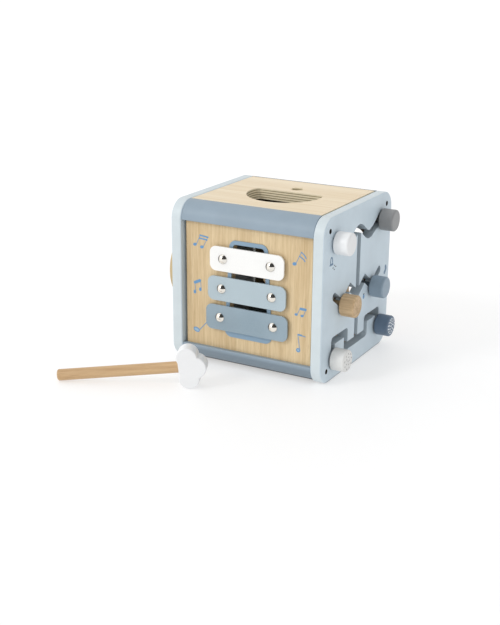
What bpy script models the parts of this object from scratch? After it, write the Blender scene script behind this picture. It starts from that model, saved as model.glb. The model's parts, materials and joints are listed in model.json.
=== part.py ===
"""Wooden baby activity cube: a three-bar xylophone, a track board with six knobs, a hand hole in the
top, a turning wheel and a loose mallet.

Metres, +Z up. The origin is the centre of the cube's underside. The xylophone faces -Y and the track
board faces +X.
"""

import math

import bmesh
import bpy

# ---- driving dimensions ------------------------------------------------------------------------

WIDTH = 0.180  # X, over the two side panels
DEPTH = 0.1745  # Y
HEIGHT = 0.1775  # Z

SIDE_T = 0.012
SIDE_CORNER_R = 0.020
SIDE_ROUND = 0.0015

GAP = 0.0003  # between pieces that touch
FINE_GAP = 0.00015  # under thin washers and discs

RAIL_INSET = 0.0012  # rails' outer faces sit this far inside the side panels' outline
RAIL_R = SIDE_CORNER_R - RAIL_INSET
RAIL_SHELF = 0.0025  # ledge that carries the top or bottom panel
RAIL_EDGE_R = 0.0008
GROOVE_DEPTH = 0.0035

TOP_T = 0.012
FRONT_T = 0.009
FRONT_RECESS = 0.0065  # front panel's face behind the side panels' front edge
PANEL_ROUND = 0.0006

HAND_HOLE_R = 0.042
HAND_HOLE_Y = 0.0013
HAND_HOLE_CHORD_Y = 0.0143
HAND_HOLE_CORNER_R = 0.006
MALLET_HOLE_R = 0.0068
MALLET_HOLE_Y = 0.031

# Track board: slot centre lines in (y, z), measured from the middle of the panel's width.
SLOT_W = 0.009
WAVE_REST = (0.0580, 0.1493)
WAVE_PEAK = (0.0570, 0.1552)
WAVE_TROUGH = (0.0273, 0.1391)
WAVE_CREST_Z = 0.1512
ZIG_STEP = 0.0194
ZIG_PEAK_Z = 0.0913
ZIG_TROUGH_Z = 0.0786
STEP_INNER_Y = 0.0259
STEP_OUTER_Y = 0.0583
STEP_LOW_Z = 0.0265
STEP_HIGH_Z = 0.0430
STEP_END_Z = 0.0235

# Knobs: name, finish, and the y and z of the rest place.
KNOBS = (
    ("white", "white_paint", -0.0580, 0.1493),
    ("grey", "grey_paint", 0.0580, 0.1493),
    ("wood", "knob_wood", -0.0387, 0.0780),
    ("blue", "slate_paint", 0.0387, 0.0780),
    ("cream", "cream_paint", -0.0580, 0.0240),
    ("navy", "navy_paint", 0.0585, 0.0274),
)
KNOB_R = 0.0120
KNOB_LENGTH = 0.0165
KNOB_STANDOFF = 0.0015
KNOB_END_ROUND = 0.0021
KNOB_BASE_ROUND = 0.0010
NECK_R = 0.0036
DISC_R = 0.0075
DISC_T = 0.0030
DISC_GAP = 0.0005
KNOB_SCREW_R = 0.0013
KNOB_SCREW_HOLE_R = 0.0015
KNOB_SCREW_HEAD_R = 0.0035
KNOB_SCREW_HEAD_T = 0.0022
KNOB_SCREW_REACH = 0.0160  # shank length beyond the head
KNOB_SCREW_POINT = 0.0012
KNOB_BORE_SPARE = 0.0030  # bore depth past the screw's point

CASE_SCREW_INSET = 0.0146  # from the panel's edges, along Y
CASE_SCREW_INSET_Z = 0.0137
CASE_BORE_R = 0.0028
CASE_BORE_DEPTH = 0.0065
CASE_SCREW_HEAD_R = 0.0025
CASE_SCREW_HEAD_T = 0.0020
CASE_SHANK_R = 0.0014
CASE_SHANK_HOLE_R = 0.0017
CASE_SHANK_LENGTH = 0.0220
CASE_SCREW_POINT = 0.0015
CASE_PILOT_DEPTH = 0.0180

# Back panel: four round sound holes on a rectangle about the panel's middle.
BACK_HOLE_R = 0.0100
BACK_HOLE_X = 0.0545
BACK_HOLE_Z = 0.0330

# Xylophone: three bars over the sound hole, which a thin frame surrounds.
BAR_X = 0.0009
BAR_T = 0.0020
BAR_FACE_RECESS = 0.0018  # bars' front face behind the side panels' front edge
BAR_CORNER_R = 0.0072
BAR_ROUND = 0.0006
# Bars: name, length, height, z of the middle, half the distance between its screws.
BARS = (
    ("white", 0.0880, 0.0266, 0.1212, 0.0283),
    ("light_blue", 0.0932, 0.0267, 0.0884, 0.0300),
    ("mid_blue", 0.0980, 0.0278, 0.0561, 0.0320),
)
DOME_R = 0.0052
DOME_H = 0.0032
BAR_SHANK_R = 0.0014
BAR_SHANK_HOLE_R = 0.0017
BAR_SHANK_IN_PANEL = 0.0065
BAR_SHANK_POINT = 0.0015
BAR_PILOT_DEPTH = 0.0072
WASHER_R = 0.0032

FRAME_X = 0.0014
FRAME_TOP_Z = 0.1423
FRAME_BOTTOM_Z = 0.0351
FRAME_TOP_HALF = 0.0226
FRAME_BOTTOM_HALF = 0.0290
FRAME_RIM = 0.0044
FRAME_BOTTOM_RIM = 0.0080
FRAME_CORNER_R = 0.0080
FRAME_T = 0.0008
SOUND_HOLE_MARGIN = 0.0003

WHEEL_R = 0.044
WHEEL_T = 0.0310
WHEEL_Z = 0.0835
WHEEL_STANDOFF = 0.0020
WHEEL_RIM_ROUND = 0.0035
WHEEL_DISH_R = 0.0290
WHEEL_DISH_DEPTH = 0.0050
WHEEL_DISH_SLOPE = 0.0040
WHEEL_DISH_CHAMFER = 0.0010
AXLE_R = 0.0030
AXLE_BORE_R = 0.0033
AXLE_HEAD_R = 0.0080
AXLE_HEAD_T = 0.0040
AXLE_END = 0.0010  # bolt's end beyond the nut
SPACER_R = 0.0090
NUT_R = 0.0060
NUT_T = 0.0050

HANDLE_R = 0.0060
HANDLE_END = (-0.1574, -0.2043, 0.0060)  # middle of the handle's free end
HANDLE_HEADING = math.radians(23.4)  # from +X towards +Y
HANDLE_TILT = math.radians(6.68)
HANDLE_LENGTH = 0.1294
HANDLE_END_ROUND = 0.0012
TENON_R = 0.0040
TENON_LENGTH = 0.0150
TENON_HOLE_R = 0.0043
TENON_HOLE_DEPTH = 0.0160
CLOUD_T = 0.0168
CLOUD_END_R = 0.0110
CLOUD_END_OFFSET = 0.0113
CLOUD_END_V = 0.0098  # less than its radius, so the lobes bulge past the flat base
CLOUD_MIDDLE_R = 0.0116
CLOUD_DEPTH = 0.0291
CLOUD_ROUND = 0.0022

HOLE_STEPS = 12
DRILL_START = 0.0010  # a drill cutter's mouth above the face it enters
SHARP_ANGLE = math.radians(35)

FACING_X = (math.pi / 2, 0.0, math.pi / 2)  # outline (y, z), thickness along X
FACING_FRONT = (math.pi / 2, 0.0, 0.0)  # outline (x, z), thickness along Y
AXIS_PLUS_X = (0.0, math.pi / 2, 0.0)  # a turned piece's top towards +X
AXIS_MINUS_X = (0.0, -math.pi / 2, 0.0)
AXIS_MINUS_Y = (math.pi / 2, 0.0, 0.0)
LYING = (0.0, 0.0, 0.0)  # outline (x, y), thickness along Z

# name: (colour, roughness, metallic)
FINISHES = {
    "panel_paint": ((0.60, 0.69, 0.75), 0.45, 0.0),
    "rail_paint": ((0.33, 0.40, 0.48), 0.45, 0.0),
    "front_wood": ((0.66, 0.50, 0.31), 0.55, 0.0),
    "top_wood": ((0.80, 0.70, 0.50), 0.55, 0.0),
    "white_paint": ((0.88, 0.88, 0.87), 0.35, 0.0),
    "light_blue_paint": ((0.48, 0.58, 0.64), 0.35, 0.0),
    "mid_blue_paint": ((0.31, 0.41, 0.49), 0.35, 0.0),
    "trim_blue": ((0.27, 0.42, 0.55), 0.50, 0.0),
    "grey_paint": ((0.19, 0.19, 0.19), 0.45, 0.0),
    "knob_wood": ((0.50, 0.34, 0.18), 0.55, 0.0),
    "slate_paint": ((0.17, 0.23, 0.30), 0.45, 0.0),
    "cream_paint": ((0.72, 0.70, 0.68), 0.45, 0.0),
    "navy_paint": ((0.08, 0.11, 0.15), 0.45, 0.0),
    "chrome": ((0.80, 0.80, 0.78), 0.12, 1.0),
    "steel": ((0.45, 0.45, 0.46), 0.35, 1.0),
    "felt": ((0.05, 0.05, 0.055), 0.95, 0.0),
    "nylon": ((0.80, 0.80, 0.78), 0.50, 0.0),
    "handle_wood": ((0.60, 0.42, 0.23), 0.55, 0.0),
}


# ---- helpers -----------------------------------------------------------------------------------


def clear_scene():
    for obj in list(bpy.data.objects):
        bpy.data.objects.remove(obj, do_unlink=True)


def new_collection(name):
    found = bpy.data.collections.new(name)
    bpy.context.scene.collection.children.link(found)
    return found


def finish_of(name):
    """The material called name, made on first use."""
    material = bpy.data.materials.get(name)
    if material:
        return material
    colour, roughness, metallic = FINISHES[name]
    material = bpy.data.materials.new(name)
    material.use_nodes = True
    shader = material.node_tree.nodes["Principled BSDF"]
    shader.inputs["Base Color"].default_value = (*colour, 1.0)
    shader.inputs["Roughness"].default_value = roughness
    shader.inputs["Metallic"].default_value = metallic
    material.diffuse_color = (*colour, 1.0)
    return material


def add_object(name, mesh, location, rotation, finish):
    """A part where finish is given, a cutter where it is None."""
    obj = bpy.data.objects.new(name, mesh)
    obj.location = location
    obj.rotation_euler = rotation
    if finish:
        mesh.materials.append(finish_of(finish))
        PARTS.objects.link(obj)
    else:
        obj.hide_render = True
        obj.display_type = "WIRE"
        CUTTERS.objects.link(obj)
    return obj


def settle(obj):
    """Makes the modifiers' result the object's mesh, and shades it by the angles of that mesh."""
    evaluated = obj.evaluated_get(bpy.context.evaluated_depsgraph_get())
    mesh = bpy.data.meshes.new_from_object(evaluated)
    obj.modifiers.clear()
    obj.data = mesh
    mesh.shade_smooth()
    mesh.set_sharp_from_angle(angle=SHARP_ANGLE)


def plate(name, outlines, thickness, location, rotation, finish):
    """A flat piece cut from board: the first outline is its edge and the others are holes in it."""
    curve = bpy.data.curves.new(name, "CURVE")
    curve.dimensions = "2D"
    curve.fill_mode = "BOTH"
    curve.extrude = thickness / 2
    for outline in outlines:
        spline = curve.splines.new("POLY")
        spline.points.add(len(outline) - 1)
        for point, (u, v) in zip(spline.points, outline):
            point.co = (u, v, 0.0, 1.0)
        spline.use_cyclic_u = True
    flat = bpy.data.objects.new(name, curve)
    bpy.context.scene.collection.objects.link(flat)
    evaluated = flat.evaluated_get(bpy.context.evaluated_depsgraph_get())
    mesh = bpy.data.meshes.new_from_object(evaluated)
    bpy.data.objects.remove(flat, do_unlink=True)
    bpy.data.curves.remove(curve)
    shell = bmesh.new()
    shell.from_mesh(mesh)
    bmesh.ops.remove_doubles(shell, verts=shell.verts, dist=1e-6)
    bmesh.ops.dissolve_limit(
        shell, angle_limit=math.radians(0.5), verts=shell.verts, edges=shell.edges
    )
    bmesh.ops.recalc_face_normals(shell, faces=shell.faces)
    shell.to_mesh(mesh)
    shell.free()
    mesh.name = name
    mesh.materials.clear()
    return add_object(name, mesh, location, rotation, finish)


def turned(name, profile, location, rotation, finish, steps):
    """A round piece from its (radius, height) profile, top to bottom down its outer side."""
    mesh = bpy.data.meshes.new(name)
    points = [(radius, 0.0, height) for radius, height in profile]
    edges = [(index, index + 1) for index in range(len(points) - 1)]
    if profile[0][0] > 0.0:
        edges.append((len(points) - 1, 0))
    mesh.from_pydata(points, edges, [])
    obj = add_object(name, mesh, location, rotation, finish)
    screw = obj.modifiers.new("turn", "SCREW")
    screw.steps = steps
    screw.render_steps = steps
    screw.use_merge_vertices = True
    screw.merge_threshold = 0.00001
    screw.use_smooth_shade = True
    return obj


def cut(obj, cutters):
    for cutter in cutters:
        boolean = obj.modifiers.new("cut_" + cutter.name, "BOOLEAN")
        boolean.operation = "DIFFERENCE"
        boolean.solver = "EXACT"
        boolean.object = cutter


def round_edges(obj, width, segments, angle=math.radians(50)):
    bevel = obj.modifiers.new("round_edges", "BEVEL")
    bevel.width = width
    bevel.segments = segments
    bevel.limit_method = "ANGLE"
    bevel.angle_limit = angle
    bevel.use_clamp_overlap = True


def drill(name, location, rotation, radius, depth):
    """A cylinder cutter that goes in to the given depth below location."""
    mesh = bpy.data.meshes.new(name)
    length = depth + DRILL_START
    shell = bmesh.new()
    bmesh.ops.create_cone(
        shell,
        cap_ends=True,
        segments=HOLE_STEPS,
        radius1=radius,
        radius2=radius,
        depth=length,
    )
    bmesh.ops.translate(shell, verts=shell.verts, vec=(0.0, 0.0, DRILL_START - length / 2))
    shell.to_mesh(mesh)
    shell.free()
    return add_object(name, mesh, location, rotation, None)


def arc(centre, radius, start, end, count):
    """Points on an arc, angles in degrees."""
    points = []
    for index in range(count + 1):
        angle = math.radians(start + (end - start) * index / count)
        points.append(
            (
                centre[0] + radius * math.cos(angle),
                centre[1] + radius * math.sin(angle),
            )
        )
    return points


def rounded_polygon(corners, radius, count):
    """A convex outline with its corners rounded, counter-clockwise."""
    points = []
    total = len(corners)
    for index, (x, y) in enumerate(corners):
        ahead = corners[(index + 1) % total]
        behind = corners[index - 1]
        out = math.atan2(ahead[1] - y, ahead[0] - x)
        back = math.atan2(behind[1] - y, behind[0] - x)
        opening = (back - out) % (2 * math.pi)
        reach = radius / math.sin(opening / 2)
        middle = out + opening / 2
        centre = (x + reach * math.cos(middle), y + reach * math.sin(middle))
        start = math.degrees(back + math.pi / 2)
        sweep = 180 - math.degrees(opening)
        points += arc(centre, radius, start, start + sweep, count)
    return points


def rectangle(width, height):
    return [
        (-width / 2, -height / 2),
        (width / 2, -height / 2),
        (width / 2, height / 2),
        (-width / 2, height / 2),
    ]


def dome(radius, height, count):
    """The (radius, height) points of a shallow dome, from its top down to its rim."""
    ball = (radius**2 + height**2) / (2 * height)
    spread = math.degrees(math.asin(radius / ball))
    points = arc((0.0, height - ball), ball, 90, 90 - spread, count)
    points[0] = (0.0, height)
    return points


def band(path, half, round_joins=True):
    """The outline of a slot of even width along an open path, with round ends."""
    left = []
    right = []
    for index in range(1, len(path) - 1):
        before, here, after = path[index - 1 : index + 2]
        incoming = math.atan2(here[1] - before[1], here[0] - before[0])
        outgoing = math.atan2(after[1] - here[1], after[0] - here[0])
        turn = (outgoing - incoming + math.pi) % (2 * math.pi) - math.pi
        middle = incoming + turn / 2
        reach = half / math.cos(turn / 2)
        for side, points in ((1, left), (-1, right)):
            is_outer = side * turn < 0
            if is_outer and round_joins and abs(turn) > math.radians(20):
                start = math.degrees(incoming) + side * 90
                corner = arc(here, half, start, start + math.degrees(turn), 4)
            else:
                angle = middle + side * math.pi / 2
                corner = [
                    (
                        here[0] + reach * math.cos(angle),
                        here[1] + reach * math.sin(angle),
                    )
                ]
            points += corner
    first = math.degrees(math.atan2(path[1][1] - path[0][1], path[1][0] - path[0][0]))
    last = math.degrees(
        math.atan2(path[-1][1] - path[-2][1], path[-1][0] - path[-2][0])
    )
    start_cap = arc(path[0], half, first + 90, first + 270, 7)
    end_cap = arc(path[-1], half, last - 90, last + 90, 7)
    return start_cap + right + end_cap + left[::-1]


def mirrored(path):
    return [(-y, z) for y, z in path]


# ---- case --------------------------------------------------------------------------------------


def wave_path():
    """Half of the upper track: from the middle crest down a smooth curve and up to its rest."""
    points = []
    count = 8
    drop = (WAVE_CREST_Z - WAVE_TROUGH[1]) / 2
    for index in range(count + 1):
        share = index / count
        y = WAVE_TROUGH[0] * share
        z = WAVE_TROUGH[1] + drop * (1 + math.cos(math.pi * share))
        points.append((y, z))
    points.append((WAVE_TROUGH[0] + 0.0052, WAVE_TROUGH[1] + 0.0006))
    points.append((WAVE_TROUGH[0] + 0.0100, WAVE_TROUGH[1] + 0.0030))
    points.append(WAVE_PEAK)
    return points


def track_paths():
    """The centre lines of the connected slots, and whether each has rounded joins."""
    wave = wave_path()
    zig = []
    for index in range(7):
        z = ZIG_PEAK_Z if index % 2 == 0 else ZIG_TROUGH_Z
        zig.append(((index - 3) * ZIG_STEP, z))
    steps = [
        (-STEP_OUTER_Y, STEP_END_Z),
        (-STEP_OUTER_Y, STEP_HIGH_Z),
        (-STEP_INNER_Y, STEP_HIGH_Z),
        (-STEP_INNER_Y, STEP_LOW_Z),
    ]
    return (
        ("wave", mirrored(wave)[::-1] + wave[1:], True),
        ("wave_rest_right", [WAVE_TROUGH, WAVE_REST, WAVE_PEAK], True),
        ("wave_rest_left", mirrored([WAVE_TROUGH, WAVE_REST, WAVE_PEAK]), True),
        ("zigzag", zig, False),
        ("steps", steps + mirrored(steps)[::-1], True),
        ("centre", [(0.0, STEP_LOW_Z), (0.0, WAVE_CREST_Z)], True),
    )


def case_screw_places():
    """(side, y, z) of the eight case screws."""
    places = []
    for side in (1, -1):
        for y in (-1, 1):
            for z in (CASE_SCREW_INSET_Z, HEIGHT - CASE_SCREW_INSET_Z):
                places.append((side, y * (DEPTH / 2 - CASE_SCREW_INSET), z))
    return places


def side_axis(side):
    return AXIS_PLUS_X if side > 0 else AXIS_MINUS_X


def corner_name(y, z):
    return f"{'front' if y < 0 else 'back'}_{'bottom' if z < HEIGHT / 2 else 'top'}"


def make_side_panels():
    outline = rounded_polygon(rectangle(DEPTH, HEIGHT), SIDE_CORNER_R, 7)
    for side, name in ((1, "side_panel_right"), (-1, "side_panel_left")):
        middle = side * (WIDTH - SIDE_T) / 2
        panel = plate(
            name,
            [outline],
            SIDE_T,
            (middle, 0.0, HEIGHT / 2),
            FACING_X,
            "panel_paint",
        )
        round_edges(panel, SIDE_ROUND, 2)
        cutters = []
        for place_side, y, z in case_screw_places():
            if place_side != side:
                continue
            face = (side * WIDTH / 2, y, z)
            tag = f"{name}_{corner_name(y, z)}"
            axis = side_axis(side)
            bore = drill("bore_" + tag, face, axis, CASE_BORE_R, CASE_BORE_DEPTH)
            hole = drill("hole_" + tag, face, axis, CASE_SHANK_HOLE_R, SIDE_T + GAP)
            cutters += [bore, hole]
        if side > 0:
            cutters += make_track_cutters(middle)
        else:
            face = (-WIDTH / 2, 0.0, WHEEL_Z)
            cutters.append(drill("axle_hole", face, AXIS_MINUS_X, AXLE_BORE_R, SIDE_T + GAP))
        cut(panel, cutters)
        settle(panel)


def make_track_cutters(middle):
    cutters = []
    for name, path, round_joins in track_paths():
        cutter = plate(
            "track_" + name,
            [band(path, SLOT_W / 2, round_joins)],
            SIDE_T + 2 * DRILL_START,
            (middle, 0.0, 0.0),
            FACING_X,
            None,
        )
        cutters.append(cutter)
    return cutters


def rail_outline(rise):
    """(y, z) of the front top rail, counter-clockwise seen from +X, curved up by rise."""
    face_y = -DEPTH / 2 + RAIL_INSET
    centre = (-DEPTH / 2 + SIDE_CORNER_R, HEIGHT - SIDE_CORNER_R)
    shelf_z = HEIGHT - TOP_T - GAP
    shelf_y = centre[0] + RAIL_SHELF
    panel_y = -DEPTH / 2 + FRONT_RECESS
    groove_top = centre[1] + GROOVE_DEPTH
    edge = (face_y + RAIL_EDGE_R, centre[1] + RAIL_EDGE_R)
    outline = [
        (panel_y - GAP, centre[1]),
        (panel_y - GAP, groove_top),
        (panel_y + FRONT_T + GAP, groove_top),
        (panel_y + FRONT_T + GAP, centre[1]),
        (shelf_y, centre[1]),
        (shelf_y, shelf_z),
        (centre[0], shelf_z),
    ]
    for y, z in arc((0.0, 0.0), 1.0, 90, 176, 8):
        outline.append((centre[0] + RAIL_R * y, centre[1] + rise * z))
    outline += arc(edge, RAIL_EDGE_R, 180, 270, 2)
    return outline


def make_rails():
    half = WIDTH / 2 - SIDE_T - GAP
    for front in (True, False):
        for top in (True, False):
            name = f"rail_{'front' if front else 'back'}_{'top' if top else 'bottom'}"
            outline = []
            for y, z in rail_outline(SIDE_CORNER_R if top else RAIL_R):
                outline.append((y if front else -y, z if top else HEIGHT - z))
            rail = plate(name, [outline], 2 * half, (0.0, 0.0, 0.0), FACING_X, "rail_paint")
            cutters = []
            for side, y, z in case_screw_places():
                if (y < 0) != front or (z > HEIGHT / 2) != top:
                    continue
                cutters.append(
                    drill(
                        f"pilot_{name}_{'right' if side > 0 else 'left'}",
                        (side * half, y, z),
                        side_axis(side),
                        CASE_SHANK_HOLE_R,
                        CASE_PILOT_DEPTH,
                    )
                )
            cut(rail, cutters)
            settle(rail)


def hand_hole_outline():
    """A disc cut off by a straight back edge, with rounded corners."""
    chord = HAND_HOLE_CHORD_Y - HAND_HOLE_Y
    small = HAND_HOLE_CORNER_R
    corner_y = chord - small
    corner_x = math.sqrt((HAND_HOLE_R - small) ** 2 - corner_y**2)
    meeting = math.degrees(math.atan2(corner_y, corner_x))
    points = arc((corner_x, corner_y), small, meeting, 90, 6)
    points += arc((-corner_x, corner_y), small, 90, 180 - meeting, 6)
    points += arc((0.0, 0.0), HAND_HOLE_R, 180 - meeting, 360 + meeting, 30)[1:-1]
    return [(x, y + HAND_HOLE_Y) for x, y in points]


def make_top_and_bottom():
    size_x = WIDTH - 2 * SIDE_T - 2 * GAP
    size_y = DEPTH - 2 * SIDE_CORNER_R - 2 * GAP
    outline = rectangle(size_x, size_y)
    mallet_hole = arc((0.0, MALLET_HOLE_Y), MALLET_HOLE_R, 0, 345, 23)
    top_z = HEIGHT - TOP_T / 2
    for name, holes, z in (
        ("top_panel", [hand_hole_outline(), mallet_hole], top_z),
        ("bottom_panel", [], TOP_T / 2),
    ):
        board = plate(name, [outline] + holes, TOP_T, (0.0, 0.0, z), LYING, "top_wood")
        round_edges(board, PANEL_ROUND, 1)
        settle(board)


def frame_corners(rim, bottom_rim):
    """Corners of the sound hole's frame in (x, z), moved in from its edge."""
    slope = (FRAME_BOTTOM_HALF - FRAME_TOP_HALF) / (FRAME_TOP_Z - FRAME_BOTTOM_Z)
    side = rim * math.sqrt(1 + slope**2)
    top = FRAME_TOP_HALF - side + slope * rim
    bottom = FRAME_BOTTOM_HALF - side - slope * bottom_rim
    low = FRAME_BOTTOM_Z + bottom_rim
    high = FRAME_TOP_Z - rim
    corners = [(-bottom, low), (bottom, low), (top, high), (-top, high)]
    return [(x + FRAME_X, z) for x, z in corners]


def make_front_and_back():
    half_x = WIDTH / 2 - SIDE_T - GAP
    edge = SIDE_CORNER_R - GROOVE_DEPTH + GAP
    outline = [
        (-half_x, edge),
        (half_x, edge),
        (half_x, HEIGHT - edge),
        (-half_x, HEIGHT - edge),
    ]
    corners = frame_corners(FRAME_RIM - FINE_GAP, FRAME_BOTTOM_RIM - FINE_GAP)
    sound_hole = rounded_polygon(corners, FRAME_CORNER_R - FRAME_RIM + FINE_GAP, 4)
    middle_y = DEPTH / 2 - FRONT_RECESS - FRONT_T / 2
    place = (0.0, -middle_y, 0.0)
    front = plate(
        "front_panel", [outline, sound_hole], FRONT_T, place, FACING_FRONT, "front_wood"
    )
    face_y = -DEPTH / 2 + FRONT_RECESS
    pilots = []
    for name, _, _, z, half in BARS:
        for side, tag in ((-1, "left"), (1, "right")):
            pilots.append(
                drill(
                    f"pilot_bar_{name}_{tag}",
                    (BAR_X + side * half, face_y, z),
                    AXIS_MINUS_Y,
                    BAR_SHANK_HOLE_R,
                    BAR_PILOT_DEPTH,
                )
            )
    cut(front, pilots)
    settle(front)
    holes = []
    for x in (-BACK_HOLE_X, BACK_HOLE_X):
        for z in (-BACK_HOLE_Z, BACK_HOLE_Z):
            holes.append(arc((x, HEIGHT / 2 + z), BACK_HOLE_R, 0, 345, 23))
    place = (0.0, middle_y, 0.0)
    back = plate("back_panel", [outline] + holes, FRONT_T, place, FACING_FRONT, "front_wood")
    settle(back)


def make_sound_hole_frame():
    outer = rounded_polygon(frame_corners(0.0, 0.0), FRAME_CORNER_R, 5)
    corners = frame_corners(FRAME_RIM, FRAME_BOTTOM_RIM)
    inner = rounded_polygon(corners, FRAME_CORNER_R - FRAME_RIM, 4)
    y = -DEPTH / 2 + FRONT_RECESS - FINE_GAP - FRAME_T / 2
    place = (0.0, y, 0.0)
    frame = plate(
        "sound_hole_frame", [outer, inner], FRAME_T, place, FACING_FRONT, "trim_blue"
    )
    settle(frame)


def make_case_screws():
    profile = [
        (0.0, 0.0),
        (CASE_SCREW_HEAD_R, 0.0),
        (CASE_SCREW_HEAD_R, -CASE_SCREW_HEAD_T),
        (CASE_SHANK_R, -CASE_SCREW_HEAD_T),
        (CASE_SHANK_R, -CASE_SHANK_LENGTH),
        (0.0, -CASE_SHANK_LENGTH - CASE_SCREW_POINT),
    ]
    depth = CASE_BORE_DEPTH - GAP - CASE_SCREW_HEAD_T
    for side, y, z in case_screw_places():
        name = f"case_screw_{'right' if side > 0 else 'left'}_{corner_name(y, z)}"
        place = (side * (WIDTH / 2 - depth), y, z)
        turned(name, profile, place, side_axis(side), "steel", 12)


# ---- xylophone ---------------------------------------------------------------------------------


def make_bars():
    face_y = -DEPTH / 2 + BAR_FACE_RECESS
    for name, length, height, z, half in BARS:
        outline = rounded_polygon(rectangle(length, height), BAR_CORNER_R, 5)
        left_hole = arc((-half, 0.0), BAR_SHANK_HOLE_R, 0, 330, 11)
        right_hole = arc((half, 0.0), BAR_SHANK_HOLE_R, 0, 330, 11)
        bar = plate(
            f"bar_{name}",
            [outline, left_hole, right_hole],
            BAR_T,
            (BAR_X, face_y + BAR_T / 2, z),
            FACING_FRONT,
            f"{name}_paint",
        )
        round_edges(bar, BAR_ROUND, 1)
        settle(bar)


def make_bar_fixings():
    """The dome screws that hold the bars, and the felt washers behind the bars."""
    face_y = -DEPTH / 2 + BAR_FACE_RECESS
    panel_y = -DEPTH / 2 + FRONT_RECESS
    washer_y = face_y + BAR_T
    washer_t = panel_y - washer_y - 2 * FINE_GAP
    shank = panel_y - face_y + BAR_SHANK_IN_PANEL
    screw_profile = dome(DOME_R, DOME_H, 4) + [
        (BAR_SHANK_R, 0.0),
        (BAR_SHANK_R, -shank + BAR_SHANK_POINT),
        (0.0, -shank),
    ]
    washer_profile = [
        (BAR_SHANK_HOLE_R, 0.0),
        (WASHER_R, 0.0),
        (WASHER_R, -washer_t),
        (BAR_SHANK_HOLE_R, -washer_t),
    ]
    for name, _, _, z, half in BARS:
        for side, tag in ((-1, "left"), (1, "right")):
            x = BAR_X + side * half
            screw = (x, face_y - FINE_GAP, z)
            turned(f"bar_screw_{name}_{tag}", screw_profile, screw, AXIS_MINUS_Y, "chrome", 16)
            washer = (x, washer_y + FINE_GAP, z)
            turned(f"felt_washer_{name}_{tag}", washer_profile, washer, AXIS_MINUS_Y, "felt", 12)


# ---- track board -------------------------------------------------------------------------------


def knob_profile():
    """From the middle of the end face, over the knob and down the neck to the screw's bore."""
    neck_end = -SIDE_T - DISC_GAP - KNOB_STANDOFF + FINE_GAP
    screw_base = neck_end - DISC_T - 2 * FINE_GAP
    bore_top = screw_base + KNOB_SCREW_REACH + KNOB_BORE_SPARE
    round_r = KNOB_END_ROUND
    points = [(0.0, KNOB_LENGTH)]
    points += arc((KNOB_R - round_r, KNOB_LENGTH - round_r), round_r, 90, 0, 3)
    points += [
        (KNOB_R, KNOB_BASE_ROUND),
        (KNOB_R - KNOB_BASE_ROUND, 0.0),
        (NECK_R, 0.0),
        (NECK_R, neck_end),
        (KNOB_SCREW_HOLE_R, neck_end),
        (KNOB_SCREW_HOLE_R, bore_top),
        (0.0, bore_top),
    ]
    return points


def make_knobs():
    base_x = WIDTH / 2 + KNOB_STANDOFF
    disc_face = WIDTH / 2 - SIDE_T - DISC_GAP
    head_x = disc_face - DISC_T - FINE_GAP
    disc_profile = [
        (KNOB_SCREW_HOLE_R, 0.0),
        (DISC_R, 0.0),
        (DISC_R, -DISC_T),
        (KNOB_SCREW_HOLE_R, -DISC_T),
    ]
    screw_profile = [
        (0.0, KNOB_SCREW_REACH),
        (KNOB_SCREW_R, KNOB_SCREW_REACH - KNOB_SCREW_POINT),
        (KNOB_SCREW_R, 0.0),
        (KNOB_SCREW_HEAD_R, 0.0),
        (KNOB_SCREW_HEAD_R, -KNOB_SCREW_HEAD_T),
        (0.0, -KNOB_SCREW_HEAD_T),
    ]
    for name, finish, y, z in KNOBS:
        place = (base_x, y, z)
        turned(f"knob_{name}", knob_profile(), place, AXIS_PLUS_X, finish, 24)
        place = (disc_face, y, z)
        turned(f"retaining_disc_{name}", disc_profile, place, AXIS_PLUS_X, "nylon", 16)
        place = (head_x, y, z)
        turned(f"knob_screw_{name}", screw_profile, place, AXIS_PLUS_X, "steel", 12)


# ---- wheel on the left face --------------------------------------------------------------------


def make_wheel():
    back_x = -WIDTH / 2 - WHEEL_STANDOFF
    rim = WHEEL_RIM_ROUND
    dish_floor = WHEEL_T - WHEEL_DISH_DEPTH
    profile = [
        (AXLE_BORE_R, dish_floor),
        (WHEEL_DISH_R - WHEEL_DISH_SLOPE, dish_floor),
        (WHEEL_DISH_R, WHEEL_T - WHEEL_DISH_CHAMFER),
        (WHEEL_DISH_R + WHEEL_DISH_CHAMFER, WHEEL_T),
    ]
    profile += arc((WHEEL_R - rim, WHEEL_T - rim), rim, 90, 0, 4)
    profile += arc((WHEEL_R - rim / 2, rim / 2), rim / 2, 0, -90, 2)
    profile += [(AXLE_BORE_R, 0.0)]
    place = (back_x, 0.0, WHEEL_Z)
    turned("wheel", profile, place, AXIS_MINUS_X, "knob_wood", 40)

    spacer_t = WHEEL_STANDOFF - 2 * GAP
    spacer = [
        (AXLE_BORE_R, 0.0),
        (SPACER_R, 0.0),
        (SPACER_R, -spacer_t),
        (AXLE_BORE_R, -spacer_t),
    ]
    place = (back_x + GAP, 0.0, WHEEL_Z)
    turned("wheel_spacer", spacer, place, AXIS_MINUS_X, "nylon", 20)

    head_x = back_x - dish_floor - GAP
    nut_x = -WIDTH / 2 + SIDE_T + GAP
    shank = nut_x + NUT_T + AXLE_END - head_x
    bolt = dome(AXLE_HEAD_R, AXLE_HEAD_T, 4) + [
        (AXLE_R, 0.0),
        (AXLE_R, -shank),
        (0.0, -shank),
    ]
    turned("axle_bolt", bolt, (head_x, 0.0, WHEEL_Z), AXIS_MINUS_X, "steel", 20)

    nut_outline = arc((0.0, 0.0), NUT_R, 0, 300, 5)
    nut_hole = arc((0.0, 0.0), AXLE_BORE_R, 0, 342, 19)
    place = (nut_x + NUT_T / 2, 0.0, WHEEL_Z)
    plate("axle_nut", [nut_outline, nut_hole], NUT_T, place, FACING_X, "steel")


# ---- mallet ------------------------------------------------------------------------------------


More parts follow.
